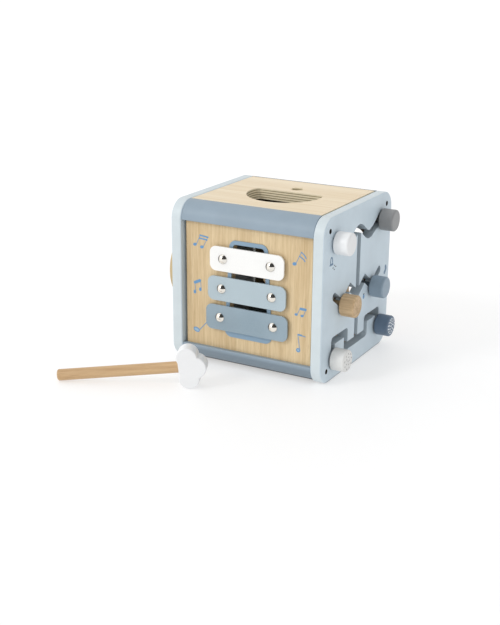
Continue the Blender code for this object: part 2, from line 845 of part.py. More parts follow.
def cloud_outline():
    """(u, v): u across the handle, v along it away from the free end; flat base at v = 0."""
    end_centre = (CLOUD_END_OFFSET, CLOUD_END_V)
    middle_centre = (0.0, CLOUD_DEPTH - CLOUD_MIDDLE_R)
    gap_u = end_centre[0] - middle_centre[0]
    gap_v = end_centre[1] - middle_centre[1]
    apart = math.hypot(gap_u, gap_v)
    along = (apart**2 + CLOUD_MIDDLE_R**2 - CLOUD_END_R**2) / (2 * apart)
    off = math.sqrt(CLOUD_MIDDLE_R**2 - along**2)
    bearing = math.degrees(math.atan2(gap_v, gap_u))
    from_middle = bearing + math.degrees(math.atan2(off, along))
    from_end = bearing + 180 - math.degrees(math.atan2(off, apart - along))
    base_u = math.sqrt(CLOUD_END_R**2 - CLOUD_END_V**2)
    from_base = math.degrees(math.atan2(-CLOUD_END_V, -base_u))
    half = arc(end_centre, CLOUD_END_R, from_base, from_end, 10)
    half += arc(middle_centre, CLOUD_MIDDLE_R, from_middle, 90, 5)[1:]
    return half + [(-u, v) for u, v in half[-2::-1]]


def make_mallet():
    """The handle's free end is the frame's origin, and its length runs along the frame's X."""
    frame = bpy.data.objects.new("mallet_frame", None)
    frame.location = HANDLE_END
    frame.rotation_euler = (0.0, -HANDLE_TILT, HANDLE_HEADING)
    PARTS.objects.link(frame)

    round_r = HANDLE_END_ROUND
    tenon_end = HANDLE_LENGTH + TENON_LENGTH
    profile = [
        (0.0, tenon_end),
        (TENON_R, tenon_end),
        (TENON_R, HANDLE_LENGTH),
        (HANDLE_R, HANDLE_LENGTH),
    ]
    profile += arc((HANDLE_R - round_r, round_r), round_r, 0, -90, 3)
    profile += [(0.0, 0.0)]
    handle = turned(
        "mallet_handle", profile, (0.0, 0.0, 0.0), AXIS_PLUS_X, "handle_wood", 20
    )
    handle.parent = frame

    # The cloud stands on its edge: its outline lies in the plane of the handle and the vertical.
    head = plate(
        "mallet_head",
        [cloud_outline()],
        CLOUD_T,
        (HANDLE_LENGTH + GAP, 0.0, 0.0),
        (math.pi / 2, math.pi / 2, 0.0),
        "white_paint",
    )
    head.parent = frame
    round_edges(head, CLOUD_ROUND, 2, math.radians(70))
    hole = drill(
        "tenon_hole",
        (HANDLE_LENGTH + GAP, 0.0, 0.0),
        AXIS_MINUS_X,
        TENON_HOLE_R,
        TENON_HOLE_DEPTH,
    )
    hole.parent = frame
    cut(head, [hole])
    settle(head)


clear_scene()
PARTS = new_collection("baby_activity_cube")
CUTTERS = new_collection("cutters")

make_side_panels()
make_rails()
make_top_and_bottom()
make_front_and_back()
make_sound_hole_frame()
make_case_screws()
make_bars()
make_bar_fixings()
make_knobs()
make_wheel()
make_mallet()
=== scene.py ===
"""The looks of a wooden baby activity cube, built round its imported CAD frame. Metres, +Z up."""

import json
import math

import bmesh
import bpy
from mathutils import Euler, Matrix, Vector


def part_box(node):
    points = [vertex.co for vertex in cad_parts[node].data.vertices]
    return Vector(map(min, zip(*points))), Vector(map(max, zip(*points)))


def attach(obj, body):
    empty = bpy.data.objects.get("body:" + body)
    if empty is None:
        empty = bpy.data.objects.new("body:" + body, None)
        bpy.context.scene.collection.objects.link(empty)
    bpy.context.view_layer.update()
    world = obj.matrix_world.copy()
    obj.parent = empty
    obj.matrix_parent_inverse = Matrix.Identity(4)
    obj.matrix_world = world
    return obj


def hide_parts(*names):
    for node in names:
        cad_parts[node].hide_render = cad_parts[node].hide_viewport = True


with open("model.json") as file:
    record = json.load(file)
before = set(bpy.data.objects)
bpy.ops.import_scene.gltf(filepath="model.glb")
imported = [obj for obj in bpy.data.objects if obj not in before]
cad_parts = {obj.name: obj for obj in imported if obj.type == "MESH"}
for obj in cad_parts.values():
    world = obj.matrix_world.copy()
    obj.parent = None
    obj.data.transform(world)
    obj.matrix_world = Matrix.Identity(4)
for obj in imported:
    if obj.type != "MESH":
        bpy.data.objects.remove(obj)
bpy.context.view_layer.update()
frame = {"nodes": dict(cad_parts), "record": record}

# ---- shared sizes and places ----

RECORD = frame["record"]
BODY_OF = {n: body for body, nodes in RECORD["behaviour"]["bodies"].items() for n in nodes}
SLOT_OF = {entry["node"]: entry["material_slot"] for entry in RECORD["subparts"]}

SIDE_LOW, SIDE_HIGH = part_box("side_panel_right")
OUTER_X = SIDE_HIGH.x
SIDE_T = SIDE_HIGH.x - SIDE_LOW.x
DEPTH = SIDE_HIGH.y - SIDE_LOW.y
HEIGHT = SIDE_HIGH.z - SIDE_LOW.z

SIDE_CORNER_R = 0.020
SIDE_ROUND = 0.0015
SLOT_ROUND = 0.0004
SLOT_W = 0.009
RAIL_R = 0.0188
RAIL_EDGE_R = 0.0008
# painted shade: the bottom rails are painted darker, keeping this share of the paint's colour
RAIL_LOW_PAINTED_SHADE = 0.70  # how much of the paint's colour the bottom rails keep
# painted shade: the back rails are painted darker, keeping this share of the paint's colour
RAIL_BACK_PAINTED_SHADE = 0.50  # and the back rails
# painted contact shadow along the foot of the rails
RAIL_FLOOR_PAINTED_SHADOW = (0.0054, 0.0066)  # heights between which the dark line at the floor fades
# painted contact shadow along the foot of the side panels
PANEL_FLOOR_PAINTED_SHADOW = (0.0010, 0.0024)
GAP = 0.0003
FINE_GAP = 0.00015

# Track board: slot centre lines in (y, z).
WAVE_REST = (0.0580, 0.1493)
WAVE_PEAK = (0.0570, 0.1552)
WAVE_TROUGH = (0.0273, 0.1391)
WAVE_CREST_Z = 0.1512
ZIG_STEP = 0.0194
ZIG_PEAK_Z = 0.0913
ZIG_TROUGH_Z = 0.0786
STEP_INNER_Y = 0.0259
STEP_OUTER_Y = 0.0583
STEP_LOW_Z = 0.0265
STEP_HIGH_Z = 0.0430
STEP_END_Z = 0.0235

KNOB_STANDOFF = 0.0015
KNOB_END_ROUND = 0.0021
KNOB_BASE_ROUND = 0.0010
# painted highlight: how much lighter the knobs' end faces are painted
KNOB_END_PAINTED_LIGHT = 1.08
NECK_R = 0.0036
KNOB_SCREW_HOLE_R = 0.0015
KNOB_BORE_DEPTH = 0.0155

CUT_MARGIN = 0.0085  # the tracks' cut walls lie further than this from the panel's edges

BORE_CORNER_Y = 0.0695  # past these, a cut wall is a screw's counterbore
BORE_CORNER_Z = 0.0718

CASE_SCREW_INSET_Y = 0.0146
CASE_SCREW_INSET_Z = 0.0137
CASE_BORE_R = 0.0028
CASE_BORE_DEPTH = 0.0065
CASE_SHANK_HOLE_R = 0.0017
CASE_SHANK_R = 0.0014
CASE_HEAD_T = 0.0020
CASE_SOCKET_R = 0.0013
CASE_SOCKET_DEPTH = 0.0012
SCREW_POINT = 0.0015  # length of a screw's pointed end
AXLE_HOLE_R = 0.0033

BAR_CORNER_R = 0.0072
BAR_SHANK_HOLE_R = 0.0017
BAR_SHANK_R = 0.0014
BAR_PILOT_DEPTH = 0.0072

FRAME_X = 0.0014
FRAME_TOP_Z = 0.1423
FRAME_BOTTOM_Z = 0.0351
FRAME_TOP_HALF = 0.0226
FRAME_BOTTOM_HALF = 0.0290
FRAME_RIM = 0.0044
FRAME_BOTTOM_RIM = 0.0080
FRAME_CORNER_R = 0.0080

BACK_HOLE_R = 0.0100
BACK_HOLE_X = 0.0545
BACK_HOLE_Z = 0.0330

HAND_HOLE_R = 0.042
HAND_HOLE_Y = 0.0013
HAND_HOLE_CHORD_Y = 0.0143
HAND_HOLE_CORNER_R = 0.006
MALLET_HOLE_R = 0.0068
MALLET_HOLE_Y = 0.031
PLIES = 9

HANDLE_END = (-0.1574, -0.2043, 0.0060)
HANDLE_HEADING = math.radians(23.4)
HANDLE_TILT = math.radians(6.68)
HANDLE_TURN = (0.0, -HANDLE_TILT, HANDLE_HEADING)
HANDLE_R = 0.0060
HANDLE_LENGTH = 0.1294
TENON_R = 0.0040
TENON_LENGTH = 0.0150
TENON_HOLE_R = 0.0043
TENON_HOLE_DEPTH = 0.0160
CLOUD_T = 0.0168
CLOUD_END_R = 0.0110
CLOUD_END_OFFSET = 0.0113
CLOUD_END_V = 0.0098
CLOUD_MIDDLE_R = 0.0116
CLOUD_DEPTH = 0.0291
CLOUD_ROUND = 0.0022

TOP_SLIT = 0.0009  # extra gap beside the top and bottom panels
FRONT_SLIT = 0.0026  # and beside the front panel
# painted shade inside the case, for the side panels and the front wood
INNER_PAINTED_SHADE = 0.35  # how much of its colour a face inside the case keeps
PRINT_T = 0.00012  # thickness of the printed motifs' ink

FACING_X = (math.pi / 2, 0.0, math.pi / 2)  # outline (y, z), thickness along X
FACING_FRONT = (math.pi / 2, 0.0, 0.0)  # outline (x, z), thickness along Y, front towards -Y
AXIS_PLUS_X = (0.0, math.pi / 2, 0.0)
AXIS_MINUS_X = (0.0, -math.pi / 2, 0.0)
AXIS_MINUS_Y = (math.pi / 2, 0.0, 0.0)
LYING = (0.0, 0.0, 0.0)

ARC_STEPS = 14
ROUND_STEPS = 64
SHARP_ANGLE = math.radians(32)


# ---- materials ----

GRAIN_X = (0.035, 1.0, 1.0)
GRAIN_Z = (1.0, 1.0, 0.035)
WOOD_ROUGHNESS = 0.52

def srgb(red, green, blue):
    """Linear colour of an sRGB colour given in 0 to 255."""
    values = []
    for value in (red, green, blue):
        share = value / 255
        low = share / 12.92
        high = ((share + 0.055) / 1.055) ** 2.4
        values.append(low if share <= 0.04045 else high)
    return (*values, 1.0)


def scaled(colour, factor):
    return (colour[0] * factor, colour[1] * factor, colour[2] * factor, 1.0)


class Nodes:
    """Short ways to add nodes to a tree."""

    def __init__(self, tree):
        self.tree = tree

    def feed(self, socket, value):
        if isinstance(value, bpy.types.NodeSocket):
            self.tree.links.new(value, socket)
        else:
            socket.default_value = value

    def node(self, kind, output, inputs=None, **settings):
        """Adds a node, feeds its inputs, and gives back one of its outputs."""
        made = self.tree.nodes.new(kind)
        for key, value in settings.items():
            setattr(made, key, value)
        for key, value in (inputs or {}).items():
            self.feed(made.inputs[key], value)
        return made.outputs[output]

    def spread(self, value, low, high, to_low, to_high, **settings):
        """value from low..high mapped to to_low..to_high, and held there."""
        inputs = {
            "Value": value,
            "From Min": low,
            "From Max": high,
            "To Min": to_low,
            "To Max": to_high,
        }
        return self.node("ShaderNodeMapRange", "Result", inputs, **settings)

    def math(self, operation, first, second=0.0):
        return self.node("ShaderNodeMath", "Value", {0: first, 1: second}, operation=operation)

    def along(self, place, direction):
        """How far place lies along a direction."""
        inputs = {0: place, 1: direction}
        return self.node("ShaderNodeVectorMath", "Value", inputs, operation="DOT_PRODUCT")


class Shade(Nodes):
    """A Principled material, and short ways to colour it by place."""

    def __init__(self, name, roughness, metallic=0.0):
        self.material = bpy.data.materials.new(name)
        self.material.use_nodes = True
        super().__init__(self.material.node_tree)
        self.shader = self.tree.nodes["Principled BSDF"]
        self.set("Roughness", roughness)
        self.set("Metallic", metallic)
        self.place = self.node("ShaderNodeTexCoord", "Object")

    def set(self, name, value):
        self.feed(self.shader.inputs[name], value)

    def stretched(self, scale):
        """The object's own coordinates, scaled along each axis."""
        return self.node("ShaderNodeMapping", "Vector", {"Vector": self.place, "Scale": scale})

    def in_frame(self, origin, turn):
        """Makes the material follow a frame at origin, turned by the angles in turn."""
        inputs = {"Vector": self.place, "Location": origin, "Rotation": turn}
        self.place = self.node("ShaderNodeMapping", "Vector", inputs, vector_type="TEXTURE")

    def noise(self, place, scale, detail=2.0, distortion=0.0):
        inputs = {"Vector": place, "Scale": scale, "Detail": detail, "Distortion": distortion}
        return self.node("ShaderNodeTexNoise", "Fac", inputs)

    def mix(self, share, first, second):
        inputs = {"Factor": share, "A": first, "B": second}
        return self.node("ShaderNodeMix", "Result", inputs, data_type="RGBA")

    def axis(self, index):
        return self.node("ShaderNodeSeparateXYZ", index, {"Vector": self.place})

    def where(self, index, operation, reach, centre=0.0):
        """1 where the distance from centre along an axis is less, or greater, than reach."""
        away = self.math("ABSOLUTE", self.math("SUBTRACT", self.axis(index), centre))
        return self.math(operation, away, reach)

    def facing(self, index):
        """How far the surface faces along an axis, from -1 to 1."""
        normal = self.node("ShaderNodeNewGeometry", "Normal")
        return self.node("ShaderNodeSeparateXYZ", index, {"Vector": normal})

    def mottled(self, colour, scale, amount):
        """The colour, a little lighter and darker from place to place."""
        broad = self.noise(self.place, scale, 3.0)
        share = self.spread(broad, 0.35, 0.65, 0.0, 1.0)
        return self.mix(share, scaled(colour, 1.0 - amount), scaled(colour, 1.0 + amount))

    def orange_peel(self, smooth, rough, strength):
        """Sprayed paint's fine ripple, which makes its gloss uneven."""
        peel = self.noise(self.place, 1100.0, 3.0)
        self.set("Roughness", self.spread(peel, 0.3, 0.7, smooth, rough))
        self.bump(peel, strength, 0.0002)

    def bump(self, height, strength, distance):
        inputs = {"Height": height, "Strength": strength, "Distance": distance}
        self.set("Normal", self.node("ShaderNodeBump", "Normal", inputs))


def paint(name, colour, roughness=0.42, mottle=0.05, coat=0.0):
    """Sprayed paint on sanded board: faint mottling, orange peel and uneven gloss."""
    shade = Shade(name, roughness)
    broad = shade.noise(shade.place, 45.0, 3.0)
    grit = shade.noise(shade.place, 3500.0, 2.0)
    broad = shade.math("MULTIPLY", broad, 0.7)
    grit = shade.math("MULTIPLY", grit, 0.3)
    share = shade.spread(shade.math("ADD", broad, grit), 0.35, 0.65, 0.0, 1.0)
    dark, light = scaled(colour, 1.0 - mottle), scaled(colour, 1.0 + mottle)
    shade.set("Base Color", shade.mix(share, dark, light))
    shade.orange_peel(roughness - 0.07, roughness + 0.07, 0.10)
    shade.set("Coat Weight", coat)
    return shade.material


def knob_paint(name, colour):
    """Sprayed paint on a turned knob, with a painted highlight on its end face and a thin ring of
    painted shade at its base.
    """
    shade = Shade(name, 0.42)
    side = shade.mottled(colour, 60.0, 0.03)
    # painted highlight: faces looking along +X, the knobs' end faces, are painted lighter
    is_end = shade.spread(shade.facing(0), 0.75, 0.95, 0.0, 1.0)
    side = shade.mix(is_end, side, scaled(colour, KNOB_END_PAINTED_LIGHT))
    # painted shade: a thin dark ring at the knob's base, where shadow falls in the gap to the
    # panel
    low = OUTER_X + KNOB_STANDOFF
    base = shade.spread(shade.axis(0), low + 0.0002, low + 0.0014, 1.0, 0.0)
    shade.set("Base Color", shade.mix(base, side, scaled(colour, 0.45)))
    shade.orange_peel(0.36, 0.50, 0.12)
    return shade.material


def rail_paint(name, colour):
    """Satin paint of the rails, with painted shade on the bottom and back rails and a painted
    contact shadow at the floor.
    """
    shade = Shade(name, 0.45)
    base = shade.mottled(colour, 45.0, 0.025)
    top_z = SIDE_CORNER_R
    # painted shade: the bottom rails, below their top edge, are painted darker
    low_painted_shade = shade.spread(shade.axis(2), top_z - 0.0050, top_z - 0.0008, 1.0, 0.0)
    # painted shade: the back rails are painted darker
    behind = shade.spread(shade.axis(1), 0.055, 0.065, 0.0, 1.0)
    base = shade.mix(low_painted_shade, base, scaled(colour, RAIL_LOW_PAINTED_SHADE))
    base = shade.mix(behind, base, scaled(colour, RAIL_BACK_PAINTED_SHADE))
    # painted contact shadow: a dark line where the rails meet the floor
    floor_painted_shadow = shade.spread(shade.axis(2), *RAIL_FLOOR_PAINTED_SHADOW, 1.0, 0.0)
    shade.set("Base Color", shade.mix(floor_painted_shadow, base, scaled(colour, 0.08)))
    shade.orange_peel(0.40, 0.52, 0.10)
    shade.set("Specular IOR Level", 0.35)
    return shade.material


def panel_paint(name, colour, edge_sheen_colour, wall_colour):
    """Paint of the side panels: greyer on the edges as a painted sheen, dull on cut walls, with
    painted shade in the counterbores and on the faces inside the case, and a painted contact
    shadow at the floor.
    """
    shade = Shade(name, 0.45)
    face = shade.mottled(colour, 45.0, 0.025)
    # painted sheen: faces that do not look along X, the edges, take the greyer edge colour
    edge = shade.mottled(edge_sheen_colour, 45.0, 0.025)
    is_wall = shade.spread(shade.math("ABSOLUTE", shade.facing(0)), 0.3, 0.6, 1.0, 0.0)
    face = shade.mix(is_wall, face, edge)
    inside_y = shade.where(1, "LESS_THAN", DEPTH / 2 - CUT_MARGIN)
    inside_z = shade.where(2, "LESS_THAN", HEIGHT / 2 - CUT_MARGIN, HEIGHT / 2)
    is_cut = shade.math("MULTIPLY", shade.math("MULTIPLY", inside_y, inside_z), is_wall)
    fibre = shade.noise(shade.place, 1600.0, 4.0)
    wall = shade.mix(fibre, scaled(wall_colour, 0.92), scaled(wall_colour, 1.06))
    # painted shade: the panels' faces inside the case are painted darker
    faces_inwards = shade.where(0, "LESS_THAN", OUTER_X - SIDE_T + 0.0002)
    inside_painted_shade = shade.math("MULTIPLY", faces_inwards, shade.where(1, "LESS_THAN", INNER_Y))
    # painted shade: the counterbores' walls are painted dark
    in_corner_y = shade.where(1, "GREATER_THAN", BORE_CORNER_Y)
    in_corner_z = shade.where(2, "GREATER_THAN", BORE_CORNER_Z, HEIGHT / 2)
    bore_painted_shade = shade.math("MULTIPLY", in_corner_y, in_corner_z)
    wall = shade.mix(bore_painted_shade, wall, srgb(70, 66, 62))
    # painted contact shadow: darker at the panels' foot
    floor_painted_shadow = shade.spread(shade.axis(2), *PANEL_FLOOR_PAINTED_SHADOW, 0.8, 0.0)
    face = shade.mix(floor_painted_shadow, face, scaled(colour, 0.3))
    painted = shade.mix(is_cut, face, wall)
    shade.set("Base Color", shade.mix(inside_painted_shade, painted, scaled(colour, INNER_PAINTED_SHADE)))
    shade.orange_peel(0.38, 0.52, 0.10)
    return shade.material


def wood(name, light, dark, stretch, contrast=1.0, pores=0.5, inner_y=0.0, in_mallet=False):
    """Lacquered wood. stretch is small along the grain's axis and 1 across it.

    It is darkened as painted shade inside the case where the distance from the cube's middle
    plane is under inner_y.
    """
    shade = Shade(name, WOOD_ROUGHNESS)
    if in_mallet:
        shade.in_frame(HANDLE_END, HANDLE_TURN)
    along = shade.stretched(stretch)
    broad = shade.noise(along, 70.0, 2.0, 0.4)
    streaks = shade.noise(along, 420.0, 4.0, 0.3)
    fibres = shade.noise(along, 1500.0, 3.0)
    share = shade.math("MULTIPLY", broad, 0.40)
    share = shade.math("ADD", share, shade.math("MULTIPLY", streaks, 0.40))
    share = shade.math("ADD", share, shade.math("MULTIPLY", fibres, 0.20))
    half = 0.16 / contrast
    share = shade.spread(share, 0.5 - half, 0.5 + half, 0.0, 1.0)
    base = shade.mix(share, dark, light)
    pore = shade.spread(shade.noise(along, 2300.0, 1.0), 0.62, 0.72, 0.0, pores)
    grained = shade.mix(pore, base, scaled(dark, 0.72))
    # painted shade: faces inside the case are painted darker
    if inner_y:
        inside_painted_shade = shade.where(1, "LESS_THAN", inner_y)
        grained = shade.mix(inside_painted_shade, grained, scaled(dark, INNER_PAINTED_SHADE))
    shade.set("Base Color", grained)
    rough, smooth = WOOD_ROUGHNESS + 0.06, WOOD_ROUGHNESS - 0.06
    shade.set("Roughness", shade.spread(streaks, 0.3, 0.7, rough, smooth))
    shade.bump(fibres, 0.22, 0.00025)
    return shade.material


def plywood(name, light, dark, top, thickness):
    """A board of thin plies: long grain on its faces, alternate dark end grain on cut walls."""
    shade = Shade(name, WOOD_ROUGHNESS)
    along = shade.stretched(GRAIN_X)
    broad = shade.noise(along, 60.0, 2.0, 0.4)
    streaks = shade.noise(along, 380.0, 4.0, 0.3)
    share = shade.math("MULTIPLY", shade.math("ADD", broad, streaks), 0.5)
    face = shade.mix(shade.spread(share, 0.33, 0.67, 0.0, 1.0), dark, light)
    upright = shade.math("ABSOLUTE", shade.facing(2))
    is_face = shade.spread(upright, 0.55, 0.85, 0.0, 1.0)
    depth = shade.math("SUBTRACT", top, shade.axis(2))
    wobble = shade.math("MULTIPLY", shade.noise(shade.place, 90.0, 2.0), 0.00025)
    turns = shade.math("MULTIPLY", shade.math("ADD", depth, wobble), math.pi * PLIES / thickness)
    wave = shade.math("SINE", turns)
    is_dark = shade.spread(wave, -0.70, -0.25, 1.0, 0.0)
    grain = shade.noise(shade.stretched((1.0, 1.0, 0.6)), 1300.0, 3.0)
    pale_ply = shade.mix(grain, srgb(232, 218, 184), srgb(250, 240, 214))
    dark_ply = shade.mix(grain, srgb(132, 114, 80), srgb(170, 152, 114))
    edge = shade.mix(is_dark, pale_ply, dark_ply)
    shade.set("Base Color", shade.mix(is_face, edge, face))
    shade.set("Roughness", shade.spread(streaks, 0.3, 0.7, 0.60, 0.48))
    shade.bump(streaks, 0.18, 0.0002)
    return shade.material


def metal(name, colour, roughness, brush=(1.0, 1.0, 1.0)):
    """Metal with fine scratches and slightly uneven polish."""
    shade = Shade(name, roughness, metallic=1.0)
    scratches = shade.noise(shade.stretched(brush), 2600.0, 3.0)
    smears = shade.noise(shade.place, 300.0, 2.0)
    shade.set("Base Color", shade.mix(smears, scaled(colour, 0.93), colour))
    shade.set("Roughness", shade.spread(scratches, 0.3, 0.7, roughness * 0.7, roughness * 1.5))
    shade.bump(scratches, 0.03, 0.0001)
    return shade.material


def chrome(name, colour, painted_reflection_colour):
    """Polished chrome with a painted reflection: where it faces left it is painted dark and less
    metallic, standing in for the dark wood it would mirror there.
    """
    shade = Shade(name, 0.06, metallic=1.0)
    smears = shade.noise(shade.place, 300.0, 2.0)
    bright = shade.mix(smears, scaled(colour, 0.95), colour)
    # painted reflection: left-facing surfaces are painted dark and made less metallic
    left_painted_reflection = shade.spread(shade.facing(0), -0.50, -0.36, 1.0, 0.0)
    shade.set("Base Color", shade.mix(left_painted_reflection, bright, painted_reflection_colour))
    shade.set("Metallic", shade.math("SUBTRACT", 1.0, left_painted_reflection))
    shade.set("Roughness", shade.spread(smears, 0.3, 0.7, 0.04, 0.09))
    shade.bump(smears, 0.02, 0.0001)
    return shade.material


def felt(name, colour):
    shade = Shade(name, 0.95)
    fuzz = shade.noise(shade.place, 2400.0, 4.0, 1.0)
    shade.set("Base Color", shade.mix(fuzz, scaled(colour, 0.5), scaled(colour, 1.8)))
    shade.bump(fuzz, 0.8, 0.0005)
    shade.set("Sheen Weight", 0.5)
    shade.set("Sheen Roughness", 0.6)
    return shade.material


def nylon(name, colour):
    shade = Shade(name, 0.45)
    mould = shade.noise(shade.place, 700.0, 3.0)
    shade.set("Base Color", shade.mix(mould, scaled(colour, 0.93), colour))
    shade.set("Roughness", shade.spread(mould, 0.3, 0.7, 0.38, 0.54))
    shade.bump(mould, 0.08, 0.0002)
    shade.set("Subsurface Weight", 0.1)
    shade.set("Subsurface Scale", 0.002)
    return shade.material


TOP_LOW, TOP_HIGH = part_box("top_panel")
TOP_T = TOP_HIGH.z - TOP_LOW.z
INNER_Y = 0.0004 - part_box("front_panel")[1].y  # just past the front panel's inner face
MATERIALS = {
    "panel_paint": panel_paint(
        "pale_blue_paint", srgb(201, 216, 226), srgb(201, 211, 215), srgb(186, 199, 208)
    ),
    "rail_paint": rail_paint("grey_blue_paint", srgb(142, 158, 171)),
    "front_wood": wood(
        "front_veneer", srgb(223, 201, 162), srgb(191, 164, 122), GRAIN_Z, 1.1, inner_y=INNER_Y
    ),
    "top_wood": plywood(
        "birch_plywood", srgb(238, 223, 196), srgb(223, 202, 167), TOP_HIGH.z, TOP_T
    ),
    "white_bar_paint": paint("white_enamel", srgb(237, 237, 235), 0.25, 0.012, 0.4),
    "light_blue_bar_paint": paint("light_blue_enamel", srgb(168, 184, 192), 0.28, 0.02, 0.4),
    "mid_blue_bar_paint": paint("mid_blue_enamel", srgb(138, 157, 169), 0.28, 0.02, 0.4),
    "trim_blue": paint("trim_blue_print", srgb(131, 157, 178), 0.45, 0.05),
    "white_paint": paint("white_paint", srgb(233, 234, 235), 0.40, 0.012, 0.1),
    "grey_paint": knob_paint("grey_paint", srgb(140, 141, 142)),
    "wheel_wood": wood(
        "wheel_ply", srgb(206, 184, 142), srgb(170, 146, 106), GRAIN_Z, pores=0.3
    ),
    "knob_wood": wood("oak_knob", srgb(227, 198, 157), srgb(168, 137, 99), GRAIN_X, 0.9, 0.9),
    "slate_paint": knob_paint("slate_paint", srgb(137, 155, 170)),
    "cream_paint": knob_paint("off_white_paint", srgb(220, 220, 218)),
    "navy_paint": knob_paint("navy_paint", srgb(96, 115, 136)),
    "chrome": chrome("chrome", srgb(240, 236, 228), srgb(60, 48, 38)),
    "steel": metal("dark_steel", srgb(96, 90, 84), 0.42),
    "felt": felt("dark_felt", srgb(64, 64, 66)),
    "nylon": nylon("natural_nylon", srgb(224, 222, 214)),
    "handle_wood": wood(
        "beech_dowel", srgb(209, 177, 134), srgb(176, 138, 96), GRAIN_X, in_mallet=True
    ),
    "ink": paint("blue_print", srgb(100, 146, 188), 0.5, 0.06),
    "pale_ink": paint("pale_blue_print", srgb(150, 178, 198), 0.5, 0.06),
    "dot_ink": paint("white_print", srgb(246, 250, 252), 0.5, 0.03),
    "side_ink": paint("grey_blue_print", srgb(104, 132, 158), 0.5, 0.05),
    "dark_ink": paint("grey_print", srgb(98, 108, 110), 0.5, 0.05),
}


# ---- geometry helpers ----


def arc(centre, radius, start, end, count):
    """Points on an arc, angles in degrees."""
    points = []
    for index in range(count + 1):
        angle = math.radians(start + (end - start) * index / count)
        x = centre[0] + radius * math.cos(angle)
        y = centre[1] + radius * math.sin(angle)
        points.append((x, y))
    return points


def circle(centre, radius, count=48):
    return arc(centre, radius, 0, 360 - 360 / count, count - 1)


def rounded_polygon(corners, radius, count=ARC_STEPS):
    """A convex outline with its corners rounded, counter-clockwise."""
    points = []
    total = len(corners)
    for index, (x, y) in enumerate(corners):
        ahead = corners[(index + 1) % total]
        behind = corners[index - 1]
        out = math.atan2(ahead[1] - y, ahead[0] - x)
        back = math.atan2(behind[1] - y, behind[0] - x)
        opening = (back - out) % (2 * math.pi)
        reach = radius / math.sin(opening / 2)
        middle = out + opening / 2
        centre = (x + reach * math.cos(middle), y + reach * math.sin(middle))
        start = math.degrees(back + math.pi / 2)
        sweep = 180 - math.degrees(opening)
        points += arc(centre, radius, start, start + sweep, count)
    return points


def rectangle(width, height):
    return [
        (-width / 2, -height / 2),
        (width / 2, -height / 2),
        (width / 2, height / 2),
        (-width / 2, height / 2),
    ]


def band(path, half, round_joins=True):
    """The outline of a slot of even width along an open path, with round ends."""
    left = []
    right = []
    for index in range(1, len(path) - 1):
        before, here, after = path[index - 1 : index + 2]
        incoming = math.atan2(here[1] - before[1], here[0] - before[0])
        outgoing = math.atan2(after[1] - here[1], after[0] - here[0])
        turn = (outgoing - incoming + math.pi) % (2 * math.pi) - math.pi
        middle = incoming + turn / 2
        reach = half / math.cos(turn / 2)
        for side, points in ((1, left), (-1, right)):
            is_outer = side * turn < 0
            if is_outer and round_joins and abs(turn) > math.radians(20):
                start = math.degrees(incoming) + side * 90
                points += arc(here, half, start, start + math.degrees(turn), 10)
            else:
                angle = middle + side * math.pi / 2
                x = here[0] + reach * math.cos(angle)
                y = here[1] + reach * math.sin(angle)
                points.append((x, y))
    first = math.degrees(math.atan2(path[1][1] - path[0][1], path[1][0] - path[0][0]))
    last = math.degrees(math.atan2(path[-1][1] - path[-2][1], path[-1][0] - path[-2][0]))
    start_cap = arc(path[0], half, first + 90, first + 270, 16)
    end_cap = arc(path[-1], half, last - 90, last + 90, 16)
    return start_cap + right + end_cap + left[::-1]


def mirrored(path):
    return [(-y, z) for y, z in path]


def new_object(name, mesh, rotation, location):
    obj = bpy.data.objects.new(name, mesh)
    obj.location = location
    obj.rotation_euler = rotation
    bpy.context.scene.collection.objects.link(obj)
    return obj


def evaluated_mesh(obj):
    settled = obj.evaluated_get(bpy.context.evaluated_depsgraph_get())
    return bpy.data.meshes.new_from_object(settled)


def discard(obj):
    data = obj.data
    bpy.data.objects.remove(obj, do_unlink=True)
    if isinstance(data, bpy.types.Mesh):
        bpy.data.meshes.remove(data)
    else:
        bpy.data.curves.remove(data)


def plate(name, outlines, thickness, rotation, location):
    """A flat board: the first outline is its edge, and the others are holes in it."""
    curve = bpy.data.curves.new(name, "CURVE")
    curve.dimensions = "2D"
    curve.fill_mode = "BOTH"
    curve.extrude = thickness / 2
    for outline in outlines:
        spline = curve.splines.new("POLY")
        spline.points.add(len(outline) - 1)
        for point, (u, v) in zip(spline.points, outline):
            point.co = (u, v, 0.0, 1.0)
        spline.use_cyclic_u = True
    flat = new_object(name + "_flat", curve, LYING, (0.0, 0.0, 0.0))
    mesh = evaluated_mesh(flat)
    discard(flat)
    shell = bmesh.new()
    shell.from_mesh(mesh)
    bmesh.ops.remove_doubles(shell, verts=shell.verts, dist=1e-7)
    bmesh.ops.dissolve_limit(
        shell, angle_limit=math.radians(0.5), verts=shell.verts, edges=shell.edges
    )
    bmesh.ops.recalc_face_normals(shell, faces=shell.faces)
    shell.to_mesh(mesh)
    shell.free()
    return new_object(name, mesh, rotation, location)


def turned(name, profile, rotation, location, steps=ROUND_STEPS):
    """A round piece from its (radius, height) profile, top to bottom down its outer side."""
    mesh = bpy.data.meshes.new(name)
    points = [(radius, 0.0, height) for radius, height in profile]
    edges = [(index, index + 1) for index in range(len(points) - 1)]
    if profile[0][0] > 0.0:
        edges.append((len(points) - 1, 0))
    mesh.from_pydata(points, edges, [])
    obj = new_object(name, mesh, rotation, location)
    screw = obj.modifiers.new("turn", "SCREW")
    screw.steps = steps
    screw.render_steps = steps
    screw.use_merge_vertices = True
    screw.merge_threshold = 0.000002
    return obj


def rounded(obj, width, segments, angle=50):
    bevel = obj.modifiers.new("round_edges", "BEVEL")
    bevel.width = width
    bevel.segments = segments
    bevel.limit_method = "ANGLE"
    bevel.angle_limit = math.radians(angle)
    bevel.use_clamp_overlap = True


